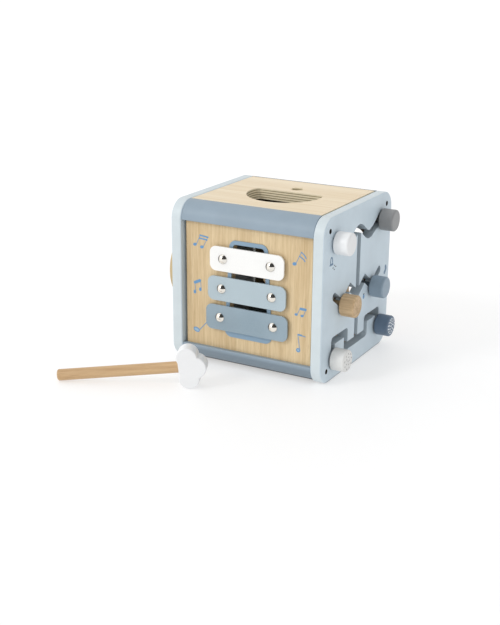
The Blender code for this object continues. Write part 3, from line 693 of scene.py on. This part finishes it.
def combine(obj, others, operation="DIFFERENCE"):
    """Cuts the others from obj, or joins them to it, and removes them."""
    for other in others:
        boolean = obj.modifiers.new("with_" + other.name, "BOOLEAN")
        boolean.operation = operation
        boolean.solver = "EXACT"
        boolean.object = other
    mesh = evaluated_mesh(obj)
    obj.modifiers.clear()
    obj.data = mesh
    for other in others:
        discard(other)


def drill(location, rotation, radius, depth, steps=32):
    """A cylinder cutter that goes in to the given depth below location."""
    start = 0.001
    profile = [(0.0, start), (radius, start), (radius, -depth), (0.0, -depth)]
    return turned("drill", profile, rotation, location, steps)


def finish(obj, material, body, node=None):
    """Settles the mesh in the cube's frame, shades it by its angles, and gives it its body."""
    mesh = evaluated_mesh(obj)
    obj.modifiers.clear()
    obj.data = mesh
    mesh.transform(obj.matrix_world)
    obj.matrix_world = Matrix.Identity(4)
    mesh.name = obj.name
    mesh.materials.clear()
    mesh.materials.append(MATERIALS[material])
    mesh.shade_smooth()
    mesh.set_sharp_from_angle(angle=SHARP_ANGLE)
    weighted = obj.modifiers.new("even_normals", "WEIGHTED_NORMAL")
    weighted.keep_sharp = True
    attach(obj, body)
    if node:
        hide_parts(node)
    return obj


def stand_in(obj, node):
    """Makes obj the detailed piece that stands for a CAD node."""
    slot = SLOT_OF[node]
    return finish(obj, slot, BODY_OF[node], node)


def look(node):
    return node + "_look"


def middle_of(node):
    low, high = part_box(node)
    return (low + high) / 2


# ---- case ----


def wave_path():
    """Half of the upper track: from the middle crest down a smooth curve and up to its rest."""
    points = []
    count = 16
    drop = (WAVE_CREST_Z - WAVE_TROUGH[1]) / 2
    for index in range(count + 1):
        share = index / count
        z = WAVE_TROUGH[1] + drop * (1 + math.cos(math.pi * share))
        points.append((WAVE_TROUGH[0] * share, z))
    points.append((WAVE_TROUGH[0] + 0.0052, WAVE_TROUGH[1] + 0.0006))
    points.append((WAVE_TROUGH[0] + 0.0100, WAVE_TROUGH[1] + 0.0030))
    points.append(WAVE_PEAK)
    return points


def track_paths():
    """The centre lines of the connected slots, and whether each has rounded joins."""
    wave = wave_path()
    zig = []
    for index in range(7):
        z = ZIG_PEAK_Z if index % 2 == 0 else ZIG_TROUGH_Z
        zig.append(((index - 3) * ZIG_STEP, z))
    steps = [
        (-STEP_OUTER_Y, STEP_END_Z),
        (-STEP_OUTER_Y, STEP_HIGH_Z),
        (-STEP_INNER_Y, STEP_HIGH_Z),
        (-STEP_INNER_Y, STEP_LOW_Z),
    ]
    rest = [WAVE_TROUGH, WAVE_REST, WAVE_PEAK]
    return (
        (mirrored(wave)[::-1] + wave[1:], True),
        (rest, True),
        (mirrored(rest), True),
        (zig, False),
        (steps + mirrored(steps)[::-1], True),
        ([(0.0, STEP_LOW_Z), (0.0, WAVE_CREST_Z)], True),
    )


def side_axis(side):
    return AXIS_PLUS_X if side > 0 else AXIS_MINUS_X


def make_side_panels():
    outline = rounded_polygon(rectangle(DEPTH, HEIGHT), SIDE_CORNER_R, 16)
    for side, node in ((1, "side_panel_right"), (-1, "side_panel_left")):
        middle = middle_of(node)
        panel = plate(look(node), [outline], SIDE_T, FACING_X, middle)
        rounded(panel, SIDE_ROUND, 4)
        cutters = []
        for y in (-1, 1):
            for z in (CASE_SCREW_INSET_Z, HEIGHT - CASE_SCREW_INSET_Z):
                face = (side * OUTER_X, y * (DEPTH / 2 - CASE_SCREW_INSET_Y), z)
                cutters.append(drill(face, side_axis(side), CASE_BORE_R, CASE_BORE_DEPTH))
                cutters.append(drill(face, side_axis(side), CASE_SHANK_HOLE_R, SIDE_T + GAP, 20))
        if side > 0:
            for index, (path, joins) in enumerate(track_paths()):
                slot = band(path, SLOT_W / 2, joins)
                place = (middle.x, 0.0, 0.0)
                cutters.append(plate(f"track_{index}", [slot], SIDE_T + 0.004, FACING_X, place))
        else:
            wheel = middle_of("wheel")
            face = (-OUTER_X, wheel.y, wheel.z)
            cutters.append(drill(face, AXIS_MINUS_X, AXLE_HOLE_R, SIDE_T + GAP))
        combine(panel, cutters)
        rounded(panel, SLOT_ROUND, 2, 60)
        stand_in(panel, node)


def rail_outline(rise):
    """(y, z) of the front top rail, counter-clockwise seen from +X, curved up by rise."""
    low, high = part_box("rail_front_top")
    panel_low, panel_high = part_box("front_panel")
    centre = (low.y + RAIL_R, HEIGHT - SIDE_CORNER_R)
    shelf_z = TOP_LOW.z - GAP
    groove_top = panel_high.z + GAP
    edge = (low.y + RAIL_EDGE_R, centre[1] + RAIL_EDGE_R)
    outline = [
        (panel_low.y - GAP, centre[1]),
        (panel_low.y - GAP, groove_top),
        (panel_high.y + GAP, groove_top),
        (panel_high.y + GAP, centre[1]),
        (high.y, centre[1]),
        (high.y, shelf_z),
        (centre[0], shelf_z),
    ]
    for y, z in arc((0.0, 0.0), 1.0, 90, 176, 24):
        outline.append((centre[0] + RAIL_R * y, centre[1] + rise * z))
    outline += arc(edge, RAIL_EDGE_R, 180, 270, 5)
    return outline


def make_rails():
    low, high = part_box("rail_front_top")
    for row in ("front", "back"):
        for level, rise in (("top", SIDE_CORNER_R), ("bottom", RAIL_R)):
            node = f"rail_{row}_{level}"
            outline = []
            for y, z in rail_outline(rise):
                outline.append((y if row == "front" else -y, z if level == "top" else HEIGHT - z))
            rail = plate(look(node), [outline], high.x - low.x, FACING_X, (0.0, 0.0, 0.0))
            rounded(rail, 0.00025, 2, 60)
            stand_in(rail, node)


def hand_hole_outline():
    """A disc cut off by a straight back edge, with rounded corners."""
    chord = HAND_HOLE_CHORD_Y - HAND_HOLE_Y
    small = HAND_HOLE_CORNER_R
    corner_y = chord - small
    corner_x = math.sqrt((HAND_HOLE_R - small) ** 2 - corner_y**2)
    meeting = math.degrees(math.atan2(corner_y, corner_x))
    points = arc((corner_x, corner_y), small, meeting, 90, 12)
    points += arc((-corner_x, corner_y), small, 90, 180 - meeting, 12)
    points += arc((0.0, 0.0), HAND_HOLE_R, 180 - meeting, 360 + meeting, 72)[1:-1]
    return [(x, y + HAND_HOLE_Y) for x, y in points]


def make_top_and_bottom():
    size = TOP_HIGH - TOP_LOW
    outline = rectangle(size.x - 2 * TOP_SLIT, size.y)
    holes = [hand_hole_outline(), circle((0.0, MALLET_HOLE_Y), MALLET_HOLE_R)]
    for node, cuts in (("top_panel", holes), ("bottom_panel", [])):
        board = plate(look(node), [outline] + cuts, size.z, LYING, middle_of(node))
        rounded(board, 0.0009, 3)
        stand_in(board, node)


def frame_corners(rim, bottom_rim):
    """Corners of the sound hole's frame in (x, z), moved in from its edge."""
    slope = (FRAME_BOTTOM_HALF - FRAME_TOP_HALF) / (FRAME_TOP_Z - FRAME_BOTTOM_Z)
    side = rim * math.sqrt(1 + slope**2)
    top = FRAME_TOP_HALF - side + slope * rim
    bottom = FRAME_BOTTOM_HALF - side - slope * bottom_rim
    low = FRAME_BOTTOM_Z + bottom_rim
    high = FRAME_TOP_Z - rim
    corners = [(-bottom, low), (bottom, low), (top, high), (-top, high)]
    return [(x + FRAME_X, z) for x, z in corners]


def make_front_and_back():
    low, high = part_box("front_panel")
    left, right = low.x + FRONT_SLIT, high.x - FRONT_SLIT
    outline = [(left, low.z), (right, low.z), (right, high.z), (left, high.z)]
    corners = frame_corners(FRAME_RIM - FINE_GAP, FRAME_BOTTOM_RIM - FINE_GAP)
    sound_hole = rounded_polygon(corners, FRAME_CORNER_R - FRAME_RIM + FINE_GAP)
    thickness = high.y - low.y
    place = (0.0, middle_of("front_panel").y, 0.0)
    front = plate(look("front_panel"), [outline, sound_hole], thickness, FACING_FRONT, place)
    pilots = []
    for node in BAR_SCREWS:
        middle = middle_of(node)
        face = (middle.x, low.y, middle.z)
        pilots.append(drill(face, AXIS_MINUS_Y, BAR_SHANK_HOLE_R, BAR_PILOT_DEPTH, 20))
    combine(front, pilots)
    rounded(front, 0.00035, 2)
    stand_in(front, "front_panel")

    holes = []
    for x in (-BACK_HOLE_X, BACK_HOLE_X):
        for z in (-BACK_HOLE_Z, BACK_HOLE_Z):
            holes.append(circle((x, HEIGHT / 2 + z), BACK_HOLE_R))
    place = (0.0, middle_of("back_panel").y, 0.0)
    back = plate(look("back_panel"), [outline] + holes, thickness, FACING_FRONT, place)
    rounded(back, 0.0005, 3)
    stand_in(back, "back_panel")


def make_sound_hole_frame():
    node = "sound_hole_frame"
    low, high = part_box(node)
    outer = rounded_polygon(frame_corners(0.0, 0.0), FRAME_CORNER_R)
    corners = frame_corners(FRAME_RIM, FRAME_BOTTOM_RIM)
    inner = rounded_polygon(corners, FRAME_CORNER_R - FRAME_RIM)
    place = (0.0, middle_of(node).y, 0.0)
    rim = plate(look(node), [outer, inner], high.y - low.y, FACING_FRONT, place)
    rounded(rim, 0.0002, 3)
    stand_in(rim, node)


def make_case_screws():
    """Pan heads with a hexagonal socket, sunk in the side panels' counterbores."""
    for node in [name for name in frame["nodes"] if name.startswith("case_screw_")]:
        low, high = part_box(node)
        side = 1 if high.x > 0 else -1
        head_x = high.x if side > 0 else low.x
        length = high.x - low.x
        radius = (high.z - low.z) / 2
        profile = [(0.0, 0.0)]
        profile += arc((radius - 0.0008, -0.0008), 0.0008, 90, 0, 4)
        profile += [
            (radius, -CASE_HEAD_T),
            (CASE_SHANK_R, -CASE_HEAD_T),
            (CASE_SHANK_R, -length + SCREW_POINT),
            (0.0, -length),
        ]
        middle = middle_of(node)
        place = (head_x, middle.y, middle.z)
        screw = turned(look(node), profile, side_axis(side), place, 32)
        socket = drill(place, side_axis(side), CASE_SOCKET_R, CASE_SOCKET_DEPTH, 6)
        combine(screw, [socket])
        stand_in(screw, node)


# ---- xylophone ----

BARS = ("bar_white", "bar_light_blue", "bar_mid_blue")
BAR_SCREWS = [name for name in frame["nodes"] if name.startswith("bar_screw_")]


def make_bars():
    for node in BARS:
        low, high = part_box(node)
        size = high - low
        outline = rounded_polygon(rectangle(size.x, size.z), BAR_CORNER_R, 16)
        middle = middle_of(node)
        holes = []
        for side in ("left", "right"):
            x = middle_of(node.replace("bar_", "bar_screw_") + "_" + side).x - middle.x
            holes.append(circle((x, 0.0), BAR_SHANK_HOLE_R, 24))
        bar = plate(look(node), [outline] + holes, size.y, FACING_FRONT, middle)
        rounded(bar, 0.0006, 4)
        stand_in(bar, node)


def make_bar_screws():
    """Chrome domes with a thin flat rim."""
    for node in BAR_SCREWS:
        low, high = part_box(node)
        radius = (high.x - low.x) / 2
        bar_low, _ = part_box(node.replace("_screw", "").rsplit("_", 1)[0])
        height = bar_low.y - FINE_GAP - low.y
        length = high.y - low.y
        rim = 0.0004
        ball = (radius**2 + (height - rim) ** 2) / (2 * (height - rim))
        spread = math.degrees(math.asin(radius / ball))
        profile = arc((0.0, height - ball), ball, 90, 90 - spread, 14)
        profile[0] = (0.0, height)
        profile += [
            (radius, 0.0),
            (BAR_SHANK_R, 0.0),
            (BAR_SHANK_R, height - length + SCREW_POINT),
            (0.0, height - length),
        ]
        middle = middle_of(node)
        place = (middle.x, bar_low.y - FINE_GAP, middle.z)
        screw = turned(look(node), profile, AXIS_MINUS_Y, place, 48)
        stand_in(screw, node)


# ---- track board's knobs ----

KNOBS = ("white", "grey", "wood", "blue", "cream", "navy")
# Rings of dots on an end face: radius, count and turn in degrees.
NAVY_RINGS = ((0.0086, 14, 10), (0.0060, 9, 0), (0.0034, 5, 22), (0.0, 1, 0))
CREAM_RINGS = ((0.0084, 9, 9), (0.0043, 5, 0), (0.0, 1, 0))
NAVY_DOT_R = 0.00085
CREAM_DOT_R = 0.00082
DIMPLE_R = 0.0010
DIMPLE_DEPTH = 0.0008


def knob_profile(base, end, neck_end, radius):
    """From the middle of the end face, over the knob and down the neck to the screw's bore."""
    length = end - base
    points = [(0.0, length)]
    points += arc((radius - KNOB_END_ROUND, length - KNOB_END_ROUND), KNOB_END_ROUND, 90, 0, 10)
    points += arc((radius - KNOB_BASE_ROUND, KNOB_BASE_ROUND), KNOB_BASE_ROUND, 0, -90, 5)
    inner = neck_end - base
    points += [
        (NECK_R, 0.0),
        (NECK_R, inner),
        (KNOB_SCREW_HOLE_R, inner),
        (KNOB_SCREW_HOLE_R, inner + KNOB_BORE_DEPTH),
        (0.0, inner + KNOB_BORE_DEPTH),
    ]
    return points


def ring_places(rings):
    """(u, v) of dots on concentric rings, each given as radius, count and turn in degrees."""
    places = []
    for radius, count, turn in rings:
        for index in range(count):
            angle = math.radians(turn + 360 * index / count)
            places.append((radius * math.cos(angle), radius * math.sin(angle)))
    return places


def make_knobs():
    base = OUTER_X + KNOB_STANDOFF
    for name in KNOBS:
        node = "knob_" + name
        low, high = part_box(node)
        radius = (high.z - low.z) / 2
        middle = middle_of(node)
        place = (base, middle.y, middle.z)
        end_x = high.x - PRINT_T
        profile = knob_profile(base, end_x, low.x, radius)
        knob = turned(look(node), profile, AXIS_PLUS_X, place)
        if name == "cream":
            dimple_knob(knob, end_x, middle)
        stand_in(knob, node)
        if name == "navy":
            print_dots(node, end_x, NAVY_RINGS, NAVY_DOT_R, "dot_ink")
        if name == "cream":
            print_dots(node, end_x - DIMPLE_DEPTH, CREAM_RINGS, CREAM_DOT_R, "dark_ink")


def dimple_knob(knob, end_x, middle):
    """Small round dimples near the rim and round the middle of the end face."""
    dimples = []
    for u, v in ring_places(CREAM_RINGS):
        place = (end_x, middle.y + u, middle.z + v)
        dimples.append(drill(place, AXIS_PLUS_X, DIMPLE_R, DIMPLE_DEPTH, 16))
    combine(knob, dimples)


def print_dots(node, face_x, rings, radius, material):
    """Dots printed on the end face, or on the floors of its dimples."""
    middle = middle_of(node)
    dots = []
    for index, (u, v) in enumerate(ring_places(rings)):
        place = (face_x + PRINT_T / 2, middle.y + u, middle.z + v)
        outline = circle((0.0, 0.0), radius, 16)
        dots.append(plate(f"dot_{index}", [outline], PRINT_T, FACING_X, place))
    dots[0].name = node + "_dots"
    combine(dots[0], dots[1:], "UNION")
    finish(dots[0], material, BODY_OF[node])


# ---- printed motifs ----

# Drawn in millimetres: x from the cube's left edge, or y from its front edge, and z up from the
# floor. Each note is its heads' (x, z), then their (width, height, tilt), then its strokes, which
# are a path and a width each.
NOTES = {
    "print_notes_left_top": (
        ((25.7, 131.5), (34.3, 129.7)),
        (4.6, 3.4, 15),
        (((27.6, 132.2), (32.4, 142.2)), 0.6),
        (((36.2, 130.4), (41.7, 141.0)), 0.6),
        (((32.2, 142.2), (41.8, 141.1)), 1.7),
        (((31.6, 138.9), (40.6, 138.2)), 1.6),
    ),
    "print_notes_left_middle": (
        ((25.0, 78.5), (31.9, 82.2)),
        (3.2, 4.2, 0),
        (((26.3, 79.0), (24.9, 88.6)), 0.6),
        (((33.1, 82.8), (32.2, 92.0)), 0.6),
        (((25.3, 89.1), (31.4, 92.0)), 3.2),
    ),
    "print_note_left_bottom": (
        ((26.8, 35.7),),
        (8.0, 5.4, -19),
        (((30.4, 35.6), (40.2, 46.4)), 0.9),
    ),
    "print_note_right_top": (
        ((144.7, 127.2),),
        (4.8, 3.6, 15),
        (((146.4, 128.2), (152.3, 140.4)), 0.6),
        (((152.2, 140.4), (154.6, 138.6), (156.6, 136.6), (157.6, 134.6)), 1.2),
        (((150.2, 136.0), (152.8, 134.6), (155.2, 133.0), (156.4, 131.2)), 1.2),
    ),
    "print_notes_right_middle": (
        ((147.7, 73.5), (154.6, 73.0)),
        (3.6, 2.8, 10),
        (((149.2, 74.0), (152.2, 81.0)), 0.6),
        (((156.1, 73.5), (158.8, 80.4)), 0.6),
        (((152.9, 80.4), (158.2, 80.2)), 2.8),
    ),
    "print_note_right_bottom": (
        ((150.9, 34.8),),
        (4.8, 4.6, 10),
        (((152.7, 35.4), (150.1, 52.4)), 0.7),
        (((150.6, 51.9), (154.6, 51.6)), 1.8),
        (((154.0, 51.6), (158.6, 50.9)), 0.9),
    ),
}
HOLLOW_NOTES = ("print_note_left_bottom", "print_note_right_bottom")


def ellipse(centre, width, height, tilt, count=24):
    """A tilted ellipse, tilt in degrees."""
    points = []
    turn = math.radians(tilt)
    for index in range(count):
        angle = 2 * math.pi * index / count
        u = width / 2 * math.cos(angle)
        v = height / 2 * math.sin(angle)
        x = centre[0] + u * math.cos(turn) - v * math.sin(turn)
        y = centre[1] + u * math.sin(turn) + v * math.cos(turn)
        points.append((x, y))
    return points


def in_metres(path, origin):
    return [(origin + u / 1000, v / 1000) for u, v in path]


def motif(name, shapes, rotation, place, material):
    """Overlapping shapes, each an outline with its holes, joined into one thin print."""
    parts = []
    for index, outlines in enumerate(shapes):
        parts.append(plate(f"{name}_{index}", outlines, PRINT_T, rotation, place))
    parts[0].name = name
    if len(parts) > 1:
        combine(parts[0], parts[1:], "UNION")
    finish(parts[0], material, "case")


def make_note_prints():
    """Music notes down both sides of the xylophone."""
    low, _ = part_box("front_panel")
    place = (0.0, low.y - PRINT_T / 2, 0.0)
    for name, (heads, size, *strokes) in NOTES.items():
        shapes = []
        for head in heads:
            outlines = [ellipse(head, *size)]
            if name in HOLLOW_NOTES:
                inner = ellipse(head, size[0] - 2.2, size[1] - 2.2, size[2])
                outlines.append(inner)
                pale = [in_metres(ellipse(head, size[0] - 2.3, size[1] - 2.3, size[2]), -OUTER_X)]
                motif(name + "_fill", [pale], FACING_FRONT, place, "pale_ink")
            shapes.append([in_metres(outline, -OUTER_X) for outline in outlines])
        for path, width in strokes:
            shapes.append([band(in_metres(path, -OUTER_X), width / 2000)])
        motif(name, shapes, FACING_FRONT, place, "ink")


def bell_outline(centre, width, height):
    """A bell: round shoulders that flare to a straight rim."""
    half = width / 2
    low = centre[1] - height / 2
    right = [
        (half, low),
        (half, low + 0.14 * height),
        (0.82 * half, low + 0.24 * height),
        (0.76 * half, low + 0.55 * height),
        (0.62 * half, low + 0.80 * height),
        (0.34 * half, low + 0.96 * height),
        (0.0, low + height),
    ]
    left = [(-u, v) for u, v in right[-2::-1]]
    return [(centre[0] + u, v) for u, v in right + left]


def make_side_prints():
    """Small marks beside the tracks: a bell, a spark of dots, a drum and a leaf."""
    place = (OUTER_X + PRINT_T / 2, 0.0, 0.0)
    front = -DEPTH / 2
    bell = [bell_outline((19.1, 131.9), 8.0, 9.4), bell_outline((19.1, 132.2), 3.6, 5.4)]
    shapes = [[in_metres(outline, front) for outline in bell]]
    motif("print_bell", shapes, FACING_X, place, "side_ink")
    for index, (u, v) in enumerate(((0.0, 2.1), (-3.1, 0.2), (3.1, 0.4), (0.0, -2.1))):
        dot = in_metres(ellipse((26.4 + u, 123.6 + v), 2.6, 1.2, 0), front)
        motif(f"print_spark_{index}", [[dot]], FACING_X, place, "dark_ink")
    drum = in_metres(ellipse((105.1, 70.6), 4.2, 4.9, 0), front)
    motif("print_drum", [[drum]], FACING_X, place, "ink")
    drum_top = in_metres(ellipse((105.1, 73.6), 3.6, 1.4, 0), front)
    motif("print_drum_top", [[drum_top]], FACING_X, place, "dark_ink")
    leaf = in_metres(((164.6, 90.2), (165.4, 87.6), (163.9, 85.4), (162.2, 83.8)), front)
    motif("print_leaf", [[band(leaf, 0.0021)]], FACING_X, place, "side_ink")


# ---- wheel and mallet ----

WHEEL_RIM_ROUND = 0.0035
WHEEL_DISH_R = 0.0290
WHEEL_DISH_DEPTH = 0.0050
WHEEL_DISH_SLOPE = 0.0046
WHEEL_DISH_ROUND = 0.0012

def make_wheel():
    node = "wheel"
    low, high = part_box(node)
    thick = high.x - low.x
    radius = (high.z - low.z) / 2
    floor_z = thick - WHEEL_DISH_DEPTH
    floor_r = WHEEL_DISH_R - WHEEL_DISH_SLOPE
    ease, rim = WHEEL_DISH_ROUND, WHEEL_RIM_ROUND
    profile = [(AXLE_HOLE_R, floor_z), (floor_r, floor_z)]
    profile += arc((floor_r, floor_z + ease), ease, 270, 320, 4)[1:]
    profile += arc((WHEEL_DISH_R + ease, thick - ease), ease, 145, 90, 4)
    profile += arc((radius - rim, thick - rim), rim, 90, 0, 12)
    profile += arc((radius - rim / 2, rim / 2), rim / 2, 0, -90, 8)
    profile += [(AXLE_HOLE_R, 0.0)]
    middle = middle_of(node)
    wheel = turned(look(node), profile, AXIS_MINUS_X, (high.x, middle.y, middle.z), 96)
    finish(wheel, "wheel_wood", BODY_OF[node], node)


def turn_matrix(angles):
    return Euler(angles).to_matrix().to_4x4()


def in_mallet_frame(obj, rotation, along):
    """Places obj at a distance along the handle, turned in the mallet's own frame."""
    mallet = Matrix.Translation(HANDLE_END) @ turn_matrix(HANDLE_TURN)
    place = Matrix.Translation((along, 0.0, 0.0)) @ turn_matrix(rotation)
    obj.matrix_world = mallet @ place


def cloud_outline():
    """(u, v): u across the handle, v along it away from the free end; flat base at v = 0."""
    end_centre = (CLOUD_END_OFFSET, CLOUD_END_V)
    middle_centre = (0.0, CLOUD_DEPTH - CLOUD_MIDDLE_R)
    gap_u = end_centre[0] - middle_centre[0]
    gap_v = end_centre[1] - middle_centre[1]
    apart = math.hypot(gap_u, gap_v)
    along = (apart**2 + CLOUD_MIDDLE_R**2 - CLOUD_END_R**2) / (2 * apart)
    off = math.sqrt(CLOUD_MIDDLE_R**2 - along**2)
    bearing = math.degrees(math.atan2(gap_v, gap_u))
    from_middle = bearing + math.degrees(math.atan2(off, along))
    from_end = bearing + 180 - math.degrees(math.atan2(off, apart - along))
    base_u = math.sqrt(CLOUD_END_R**2 - CLOUD_END_V**2)
    from_base = math.degrees(math.atan2(-CLOUD_END_V, -base_u))
    half = arc(end_centre, CLOUD_END_R, from_base, from_end, 30)
    half += arc(middle_centre, CLOUD_MIDDLE_R, from_middle, 90, 16)[1:]
    return half + [(-u, v) for u, v in half[-2::-1]]


def make_mallet():
    round_r = 0.0012
    tenon_end = HANDLE_LENGTH + TENON_LENGTH
    profile = [
        (0.0, tenon_end),
        (TENON_R, tenon_end),
        (TENON_R, HANDLE_LENGTH),
        (HANDLE_R, HANDLE_LENGTH),
    ]
    profile += arc((HANDLE_R - round_r, GAP + round_r), round_r, 0, -90, 6)
    profile += [(0.0, GAP)]
    handle = turned(look("mallet_handle"), profile, LYING, (0.0, 0.0, 0.0), 48)
    handle.data = evaluated_mesh(handle)
    handle.modifiers.clear()
    handle.data.transform(turn_matrix(AXIS_PLUS_X))
    in_mallet_frame(handle, LYING, 0.0)
    stand_in(handle, "mallet_handle")

    head = plate(look("mallet_head"), [cloud_outline()], CLOUD_T, LYING, (0.0, 0.0, 0.0))
    in_mallet_frame(head, (math.pi / 2, math.pi / 2, 0.0), HANDLE_LENGTH + GAP)
    rounded(head, CLOUD_ROUND, 5, 70)
    hole = drill((0.0, 0.0, 0.0), LYING, TENON_HOLE_R, TENON_HOLE_DEPTH)
    in_mallet_frame(hole, AXIS_MINUS_X, HANDLE_LENGTH + GAP)
    combine(head, [hole])
    stand_in(head, "mallet_head")


def dress_plain_nodes():
    """The CAD nodes that stay in view as they are take their slot's material."""
    for name, node in frame["nodes"].items():
        if not node.hide_render:
            node.data.materials.clear()
            node.data.materials.append(MATERIALS[SLOT_OF[name]])


# ---- studio ----

CAMERA_AT = (0.53475, -1.03222, 0.43456)
CAMERA_AZIMUTH = math.radians(29.187)
CAMERA_ELEVATION = math.radians(18.670)
CAMERA_ROLL = math.radians(0.383)
CAMERA_LENS = 62.84

WORLD_BRIGHT = 1.15
WORLD_DIM = 0.67
DIM_SIDE = (0.88, 0.35, 0.32)  # direction in which the studio is dimmest
DIM_START = -0.2
DIM_END = 0.7
SHADE_SIDE = Vector((0.66, -0.66, 0.36))  # where a dark flag hangs, seen only in reflections
SHADE_EDGE = math.radians(60)
SHADE_CORE = math.radians(56)
SHADE_DEPTH = 0.93
KEY_FROM = (-0.50, -0.80, 0.60)
KEY_SPREAD = math.radians(14)
KEY_STRENGTH = 0.65
FLOOR_GLOW = 0.49
FLOOR_HALF = 30.0
WHITE = (1.0, 1.0, 1.0, 1.0)


def make_camera():
    azimuth, elevation = CAMERA_AZIMUTH, CAMERA_ELEVATION
    back = Vector(
        (
            math.sin(azimuth) * math.cos(elevation),
            -math.cos(azimuth) * math.cos(elevation),
            math.sin(elevation),
        )
    )
    level = Vector((math.cos(azimuth), math.sin(azimuth), 0.0))
    right = Matrix.Rotation(CAMERA_ROLL, 3, back) @ level
    up = back.cross(right)
    data = bpy.data.cameras.new("camera")
    data.sensor_width = 36.0
    data.lens = CAMERA_LENS
    camera = bpy.data.objects.new("camera", data)
    turn = Matrix((right, up, back)).transposed().to_4x4()
    camera.matrix_world = Matrix.Translation(CAMERA_AT) @ turn
    bpy.context.scene.collection.objects.link(camera)
    bpy.context.scene.camera = camera


def sun(name, direction, spread, strength):
    """Even light from a direction, as soft as a softbox of that angle."""
    data = bpy.data.lights.new(name, "SUN")
    data.angle = spread
    data.energy = strength
    light = bpy.data.objects.new(name, data)
    light.rotation_euler = (-Vector(direction)).to_track_quat("-Z", "Y").to_euler()
    bpy.context.scene.collection.objects.link(light)


def make_world():
    """White on the left, in front and overhead, dimmer to the right and behind, and one flag."""
    world = bpy.data.worlds.new("studio")
    world.use_nodes = True
    nodes = Nodes(world.node_tree)
    backdrop = nodes.tree.nodes["Background"].inputs
    nodes.feed(backdrop["Color"], WHITE)
    place = nodes.node("ShaderNodeTexCoord", "Generated")
    smooth = {"interpolation_type": "SMOOTHSTEP"}
    towards = nodes.along(place, DIM_SIDE)
    bright = nodes.spread(towards, DIM_START, DIM_END, WORLD_BRIGHT, WORLD_DIM, **smooth)
    flag = nodes.along(place, SHADE_SIDE.normalized())
    edge, core = math.cos(SHADE_EDGE), math.cos(SHADE_CORE)
    shaded = nodes.spread(flag, edge, core, 0.0, SHADE_DEPTH, **smooth)
    reflected = nodes.node("ShaderNodeLightPath", "Is Glossy Ray")
    kept = nodes.math("SUBTRACT", 1.0, nodes.math("MULTIPLY", shaded, reflected))
    nodes.feed(backdrop["Strength"], nodes.math("MULTIPLY", bright, kept))
    bpy.context.scene.world = world


def make_floor():
    mesh = bpy.data.meshes.new("floor")
    shell = bmesh.new()
    bmesh.ops.create_grid(shell, x_segments=1, y_segments=1, size=FLOOR_HALF)
    shell.to_mesh(mesh)
    shell.free()
    floor = new_object("floor", mesh, LYING, (0.0, 0.0, -0.0001))
    material = paint("studio_floor", srgb(188, 188, 188), 0.6, 0.002)
    glow = material.node_tree.nodes["Principled BSDF"].inputs
    glow["Emission Color"].default_value = WHITE
    glow["Emission Strength"].default_value = FLOOR_GLOW
    mesh.materials.append(material)


def make_studio():
    make_world()
    sun("key", KEY_FROM, KEY_SPREAD, KEY_STRENGTH)
    make_floor()
    view = bpy.context.scene.view_settings
    view.view_transform = "Standard"


# ---- the whole object ----

make_side_panels()
make_rails()
make_top_and_bottom()
make_front_and_back()
make_sound_hole_frame()
make_case_screws()
make_bars()
make_bar_screws()
make_knobs()
make_note_prints()
make_side_prints()
make_wheel()
make_mallet()
dress_plain_nodes()
make_camera()
make_studio()
